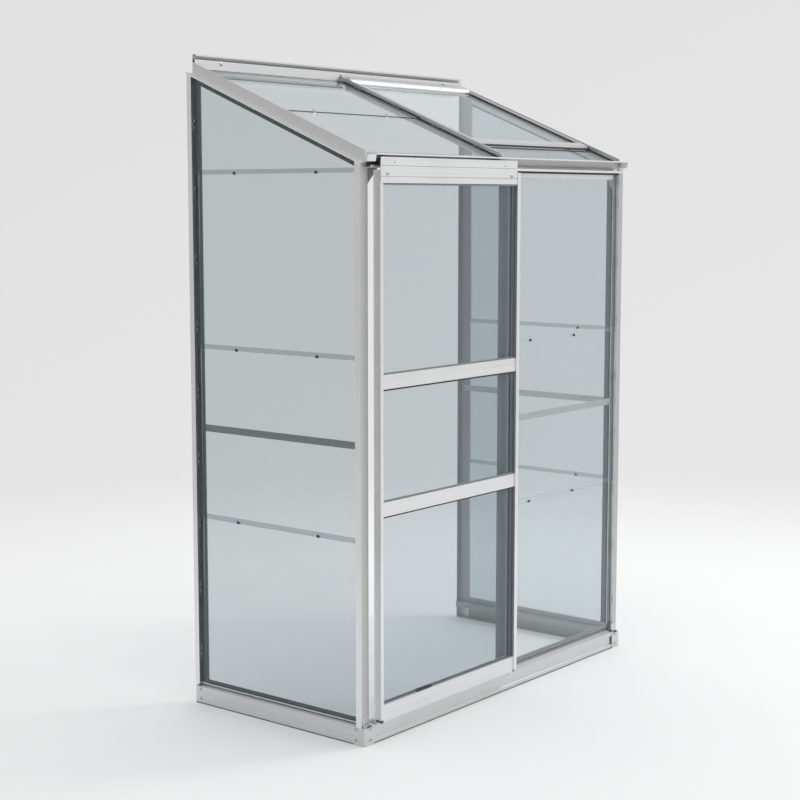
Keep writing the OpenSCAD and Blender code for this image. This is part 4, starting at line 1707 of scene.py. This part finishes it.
    def _gutter_fittings(self) -> None:
        """Adds the gutter's small screws, the plates above its floor at both ends, and the dark strip that
        paints its lip's shadow on the front glass.
        """
        low, high = self.workshop.datum.box("eaves_gutter")
        glass_low, glass_high = self.workshop.datum.box("front_glass")
        screws, plates, rubber = Shape(), Shape(), Shape()
        for x in (high.x - self.gutter_screw_inset, self.gutter_screw_x):
            self.gutter_screw.add(screws, (x, *self.gutter_screw_seat), (0.0, 0.0, -1.0))
        self.workshop.piece("gutter_screws", screws, BOLT_STEEL)
        inset, plate = self.gutter_plate_inset, self.gutter_plate
        for x in (low.x + inset, high.x - inset - plate):
            plates.prism(Axis.X, (x, x + plate), list(self.gutter_end))
        self.workshop.piece("gutter_end_plates", plates, WHITE_NYLON)
        # Painted shadow: a dark strip under the gutter, in front of the glass's head.
        front, back = self.gutter_shadow_depth
        foot, head = (glass_high.z - drop for drop in self.gutter_shadow_drop)
        rubber.prism(
            Axis.X, (glass_low.x + self.gutter_shadow_inset, glass_high.x - self.gutter_shadow_inset),
            bead((front, foot), (back, head)),
        )
        self.workshop.piece("gutter_shadow_strip", rubber, GLAZING_RUBBER)


@dataclass
class Vent:
    """The roof vent's rails, stiles and pane, closed, with its seals."""

    workshop: Workshop
    glass_level: float = 17.6
    # Levels are heights above the roof bars' underside. A strip is two places in y and two levels.
    foot_depth: Pair = (-3.4, -0.2)
    foot_levels: Pair = (15.1, 19.6)
    rail_ends: Pair = (9.0, 6.0)
    rail_strip: tuple[float, ...] = (105.5, 111.5, 15.1, 16.6)
    head_inset: float = 16.0
    head_strip: tuple[float, ...] = (589.0, 597.0, 12.4, 14.5)
    pane_ends: Pair = (1.0, 7.0)
    pane_width: float = 2.5
    pane_levels: Pair = (0.1, 1.4)

    def build(self) -> None:
        """Dresses the vent and adds its rubber."""
        shop = self.workshop
        for node in ("vent_top_rail", "vent_bottom_rail"):
            shop.dress(node, ALUMINIUM[Axis.X])
        for node in ("vent_left_stile", "vent_right_stile"):
            shop.dress(node, ALUMINIUM[Axis.Y])
        shop.dress("vent_glass", VENT_GLASS, Slot.GLASS)
        self._seals()

    def _seals(self) -> None:
        """Adds the rubber at the foot of the vent and along its pane."""
        datum = self.workshop.datum
        low, high = datum.box("vent_bottom_rail")
        glass_low, glass_high = datum.box("vent_glass")
        foot, pane = Shape(), Shape()
        start, end = (low.y + depth for depth in self.foot_depth)
        foot.prism(Axis.X, (low.x, high.x), SLOPE.strip(start, end, *self.foot_levels))
        self.workshop.piece("vent_foot_rubber", foot, GLAZING_RUBBER)
        left, right = self.rail_ends
        pane.prism(Axis.X, (low.x + left, high.x - right), SLOPE.strip(*self.rail_strip))
        ends = (glass_low.y + self.pane_ends[0], glass_high.y - self.pane_ends[1])
        levels = (self.glass_level + level for level in self.pane_levels)
        section = SLOPE.strip(*ends, *levels)
        for x in (glass_low.x, glass_high.x - self.pane_width):
            pane.prism(Axis.X, (x, x + self.pane_width), section)
        inset = self.head_inset
        pane.prism(Axis.X, (glass_low.x + inset, glass_high.x - inset), SLOPE.strip(*self.head_strip))
        self.workshop.piece("vent_pane_rubber", pane, GLAZING_RUBBER)


@dataclass
class Door:
    """The sliding door: stiles, rails, panes, header, rollers and guides, with their seals and screws."""

    workshop: Workshop
    small_screw: Fastener = field(default_factory=lambda: Fastener(3.0, 0.9, recess_radius=1.0))
    header_bolt: Fastener = field(default_factory=lambda: Fastener(3.8, 1.0, 6.2, 0.6, (1.2, 1.0)))
    screw_places: tuple[Pair, ...] = ((106.0, 1573.0), (612.0, 1571.0))
    bolt_places: tuple[Pair, ...] = ((76.7, 1543.0), (645.0, 1541.0))
    # Header: ribs on its face, dark so that they paint the shade of its grooves.
    rib_heights: Pair = (1563.6, 1535.2)
    rib_inset: float = 0.2
    # Strips in front of the panes, from the rails' and stiles' own edges.
    pane_front: float = -10.0
    strip_stand: float = 0.06
    strip_depth: float = 1.8
    above_rail: Pair = (-0.4, 4.6)
    below_rail: Pair = (-5.4, 0.4)
    above_foot: Pair = (-8.2, -3.9)
    below_header: Pair = (-1.0, 3.6)
    header_strip_ends: Pair = (9.0, 4.0)
    header_strip_depth: float = 9.0
    stile_strip_depth: float = 0.9
    stile_strip_drop: float = 21.0
    left_stile_strip: Pair = (0.0, 2.5)
    right_stile_strip: Pair = (17.0, 0.4)
    # The grey sheet on the right stile's web, which paints the web's shaded look, the left stile's draught
    # strip and the lowest pane's packer.
    shade_sheet_ends: Pair = (12.0, 2.0)
    shade_sheet_sides: Pair = (14.9, 14.05)
    shade_sheet_depth: Pair = (0.3, 9.0)
    draught_sides: Pair = (5.6, 0.02)
    draught_depth: Pair = (2.4, 0.4)
    packer_ends: Pair = (214.0, 282.0)
    packer_low: Pair = (-12.2, 107.1)
    packer_high: Pair = (-10.1, 113.0)
    # Plugs in the feet of the stiles.
    plug_length: float = 6.0
    plug_stand: float = 0.05
    left_plug: Pair = (0.4, 2.0)
    right_plug: Pair = (14.6, 13.2)
    plug_depth: Pair = (-19.6, -1.0)
    foot_plug_length: float = 9.0
    foot_plug_low: Pair = (2.5, -19.8)
    foot_plug_high: Pair = (12.0, -14.1)

    def build(self) -> None:
        """Dresses the door and adds its fittings."""
        shop = self.workshop
        for node in ("door_header", "door_upper_rail", "door_lower_rail", "door_bottom_rail"):
            shop.dress(node, DOOR_METAL[Axis.X], Slot.DOOR)
        for node in ("door_left_stile", "door_right_stile"):
            shop.dress(node, DOOR_METAL[Axis.Z], Slot.DOOR)
        for node in ("door_upper_glass", "door_middle_glass", "door_lower_glass"):
            shop.dress(node, DOOR_GLASS, Slot.DOOR_GLASS)
        for side in ("left", "right"):
            shop.dress(f"door_{side}_roller", BLACK_NYLON, Slot.NYLON)
            shop.dress(f"door_{side}_guide", PALE_NYLON, Slot.NYLON)
        self._header_ribs()
        self._header_screws()
        self._rail_gaskets()
        self._stile_gaskets()
        self._packer()
        self._end_plugs()
        self._draught_strip()
        self._stile_shade_sheet()

    def _stile_shade_sheet(self) -> None:
        """Adds a grey sheet on the inner face of the right stile's web, which paints the web's shaded look.
        """
        low, high = self.workshop.datum.box("door_right_stile")
        x0, x1 = (high.x - side for side in self.shade_sheet_sides)
        y0, y1 = (low.y + depth for depth in self.shade_sheet_depth)
        shape = Shape()
        ends = (low.z + self.shade_sheet_ends[0], high.z - self.shade_sheet_ends[1])
        shape.prism(Axis.Z, ends, bead((x0, y0), (x1, y1), 0.2))
        self.workshop.piece("door_stile_shade_sheet", shape, STILE_SHADE_SHEET, Body.DOOR, Slot.DOOR)

    def _draught_strip(self) -> None:
        """Adds the narrow strip that stands out from the back of the left stile."""
        low, high = self.workshop.datum.box("door_left_stile")
        x0, x1 = (low.x - side for side in self.draught_sides)
        y0, y1 = (high.y - depth for depth in self.draught_depth)
        shape = Shape()
        shape.prism(Axis.Z, (low.z, high.z), bead((x0, y0), (x1, y1)))
        self.workshop.piece("door_draught_strip", shape, DOOR_METAL[Axis.Z], Body.DOOR, Slot.DOOR)

    def _header_ribs(self) -> None:
        """Adds the two fine ribs that run along the header, dark so that they paint the shade of its
        grooves.
        """
        shape = Shape()
        low, high = self.workshop.datum.box("door_header")
        out = low.y - 0.12
        for z in self.rib_heights:
            section = [(low.y, z - 0.6), (out, z - 0.5), (out, z + 0.5), (low.y, z + 0.6), (low.y + 0.3, z)]
            shape.prism(Axis.X, (low.x + self.rib_inset, high.x - self.rib_inset), section)
        self.workshop.piece("door_header_ribs", shape, SHADED_GROOVE_METAL, Body.DOOR, Slot.DOOR)

    def _header_screws(self) -> None:
        """Adds the header's screws and bolts."""
        shape = Shape()
        low, _ = self.workshop.datum.box("door_header")
        for x, z in self.screw_places:
            self.small_screw.add(shape, (x, low.y, z), TO_FRONT)
        for x, z in self.bolt_places:
            self.header_bolt.add(shape, (x, low.y, z), TO_FRONT)
        self.workshop.piece("door_header_screws", shape, BOLT_STEEL, Body.DOOR, Slot.DOOR)

    def _gasket(self, shape: Shape, ends: Pair, edge: float, heights: Pair, depth: float) -> None:
        """Adds a rubber strip in front of a pane.

        Args:
            shape: The shape that it joins.
            ends: Where it starts and ends.
            edge: The height of the rail's edge that it lies along.
            heights: Its foot and its head, up from that edge.
            depth: How far it stands in front of the pane.
        """
        front, back = self.pane_front - depth, self.pane_front - self.strip_stand
        shape.prism(Axis.X, ends, bead((front, edge + heights[0]), (back, edge + heights[1])))

    def _rail_gaskets(self) -> None:
        """Adds the strips along the rails: dark below each face, partly gasket and partly painted shade
        under the rail, and paler above it.
        """
        dark, pale = Shape(), Shape()
        datum = self.workshop.datum
        low, high = datum.box("door_lower_glass")
        ends = (low.x, high.x)
        lower, upper, bottom = (datum.box(f"door_{n}_rail") for n in ("lower", "upper", "bottom"))
        for rail_low, rail_high in (lower, upper):
            self._gasket(pale, ends, rail_high.z, self.above_rail, self.strip_depth)
            self._gasket(dark, ends, rail_low.z, self.below_rail, self.strip_depth)
        self._gasket(pale, ends, bottom[1].z, self.above_foot, self.strip_depth)
        left, right = self.header_strip_ends
        header_foot = datum.box("door_header")[0].z
        ends = (low.x + left, high.x - right)
        self._gasket(pale, ends, header_foot, self.below_header, self.header_strip_depth)
        self.workshop.piece("door_rail_gaskets", dark, GLAZING_RUBBER, Body.DOOR, Slot.DOOR)
        self.workshop.piece("door_rail_seals", pale, PALE_SEAT_SHADE_RUBBER, Body.DOOR, Slot.DOOR)

    def _stile_gaskets(self) -> None:
        """Adds the slate strips beside the stiles, partly rubber and partly painted shade of the stiles'
        inner faces.
        """
        shape = Shape()
        datum = self.workshop.datum
        front, back = self.pane_front - self.stile_strip_depth, self.pane_front - self.strip_stand
        for pane in ("door_upper_glass", "door_middle_glass", "door_lower_glass"):
            low, high = datum.box(pane)
            ends = (low.z + self.stile_strip_drop, high.z - self.stile_strip_drop)
            left = [low.x + side for side in self.left_stile_strip]
            right = [high.x - side for side in self.right_stile_strip]
            for x0, x1 in (left, right):
                shape.prism(Axis.Z, ends, bead((x0, front), (x1, back)))
        self.workshop.piece("door_stile_gaskets", shape, SEAT_SHADE_RUBBER, Body.DOOR, Slot.DOOR)

    def _packer(self) -> None:
        """Adds the rubber packer under the lowest pane."""
        shape = Shape()
        shape.prism(Axis.X, self.packer_ends, bead(self.packer_low, self.packer_high))
        self.workshop.piece("door_pane_packer", shape, GLAZING_RUBBER, Body.DOOR, Slot.DOOR)

    def _end_plugs(self) -> None:
        """Adds the plugs in the feet of the stiles."""
        shape = Shape()
        low, _ = self.workshop.datum.box("door_left_stile")
        _, high = self.workshop.datum.box("door_right_stile")
        head = low.z - self.plug_stand
        y0, y1 = self.plug_depth
        left = [low.x + side for side in self.left_plug]
        right = [high.x - side for side in self.right_plug]
        for x0, x1 in (left, right):
            shape.prism(Axis.Z, (low.z - self.plug_length, head), bead((x0, y0), (x1, y1)))
        (x0, y0), (x1, y1) = self.foot_plug_low, self.foot_plug_high
        section = bead((low.x + x0, y0), (low.x + x1, y1), 0.4)
        shape.prism(Axis.Z, (low.z - self.foot_plug_length, head), section)
        self.workshop.piece("door_stile_plugs", shape, BLACK_NYLON, Body.DOOR, Slot.NYLON)


@dataclass
class Studio:
    """Floor, lamps, backdrop and camera."""

    camera_place: Point = (-3.9603, -3.08245, 1.4752)
    camera_turn: Point = (83.04, 0.0, -51.29)
    lens: float = 73.93
    sensor_width: float = 36.0
    floor_radius: float = 4.6
    floor_steps: int = 96
    floor_drop: float = 0.0006
    rim_waver: float = 0.01
    seed: int = 7
    key_place: Point = (3.7, -2.5, 4.3)
    key_target: Point = (0.0, 0.0, 0.6)
    key_size: float = 1.5
    key_power: float = 62.0
    # Light from all round and what is seen behind: at the horizon, towards the front right, upwards.
    soft_light: Point = (0.70, 0.15, 0.10)
    soft_range: Pair = (0.3, 0.92)
    backdrop: Point = (0.77, 0.06, -0.12)
    backdrop_range: Pair = (0.3, 0.93)
    matt_gain: float = 1.2

    def build(self) -> None:
        """Builds the whole studio."""
        self._floor()
        self._key_lamp()
        self._world()
        self._camera()
        bpy.context.scene.view_settings.view_transform = "Standard"

    def _floor(self) -> None:
        """Adds a round floor with a slightly uneven rim."""
        chance = random.Random(self.seed)
        rim = [
            Vector((math.cos(a), math.sin(a), 0.0))
            * (self.floor_radius + chance.uniform(0.0, self.rim_waver))
            for a in turns(self.floor_steps)
        ]
        drop = Vector((0, 0, self.floor_drop))
        mesh = bpy.data.meshes.new("studio_floor")
        mesh.from_pydata([v - drop for v in rim], [], [tuple(range(self.floor_steps))])
        mesh.materials.append(PaleFloor("pale_floor").made())
        floor = bpy.data.objects.new("studio_floor", mesh)
        bpy.context.scene.collection.objects.link(floor)

    def _key_lamp(self) -> None:
        """Adds the round soft lamp that hangs on the right of the front."""
        light = bpy.data.lights.new("key_lamp", "AREA")
        light.shape = "DISK"
        light.size = self.key_size
        light.energy = self.key_power
        lamp = bpy.data.objects.new("key_lamp", light)
        lamp.location = self.key_place
        way = Vector(self.key_target) - Vector(self.key_place)
        lamp.rotation_euler = way.to_track_quat("-Z", "Y").to_euler()
        bpy.context.scene.collection.objects.link(lamp)

    @staticmethod
    def _sky(parts: Point, limits: Pair, to_front_right: Signal, up: Signal) -> Signal:
        """A level of light that changes with the way.

        Args:
            parts: The level at the horizon, and what is added towards the front right and upwards.
            limits: The least and the greatest level.
            to_front_right: How far the way points to the front right.
            up: How far it points up.

        Returns:
            The level.
        """
        middle, aside, upward = parts
        return (middle + aside * to_front_right + upward * up).at_least(limits[0]).at_most(limits[1])

    def _world(self) -> None:
        """Makes the pale backdrop and the soft light all round, which is stronger on matt surfaces."""
        world = bpy.data.worlds.new("studio")
        world.use_nodes = True
        bpy.context.scene.world = world
        wiring = Wiring(world.node_tree)
        way = wiring.node("ShaderNodeTexCoord", result="Generated")
        apart = wiring.node("ShaderNodeSeparateXYZ", sockets={0: way})
        names = apart.socket.node.outputs
        x, y, z = (Signal(wiring, names[i]) for i in range(3))
        rays = wiring.node("ShaderNodeLightPath").socket.node.outputs
        camera, glossy, through = (
            Signal(wiring, rays[n]) for n in ("Is Camera Ray", "Is Glossy Ray", "Is Transmission Ray")
        )
        to_front_right = (x - y) * 0.7071
        soft = self._sky(self.soft_light, self.soft_range, to_front_right, z)
        backdrop = self._sky(self.backdrop, self.backdrop_range, to_front_right, z)
        seen = camera.at_least(through)
        level = backdrop * seen + soft * (1 - seen) * (glossy + (1 - glossy) * self.matt_gain)
        colour = wiring.node("ShaderNodeCombineXYZ", sockets={0: level, 1: level, 2: level})
        wiring.surface(wiring.node("ShaderNodeBackground", sockets={"Color": colour, "Strength": 1.0}))

    def _camera(self) -> None:
        """Adds the camera."""
        eye = bpy.data.cameras.new("camera")
        eye.lens = self.lens
        eye.sensor_width = self.sensor_width
        camera = bpy.data.objects.new("camera", eye)
        camera.location = self.camera_place
        camera.rotation_euler = tuple(math.radians(a) for a in self.camera_turn)
        bpy.context.scene.collection.objects.link(camera)
        bpy.context.scene.camera = camera


def main() -> None:
    """Builds the greenhouse's looks and the studio round it."""
    logging.basicConfig(level=logging.INFO, format="%(message)s")
    for leftover in list(bpy.data.objects):
        bpy.data.objects.remove(leftover)
    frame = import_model()
    workshop = Workshop(frame, Datum())
    for assembly in (Base, Posts, Roof, Vent, UprightGlazing, Door):
        assembly(workshop).build()
        LOG.info("%s is ready", assembly.__name__)
    Studio().build()


if __name__ == "__main__":
    main()
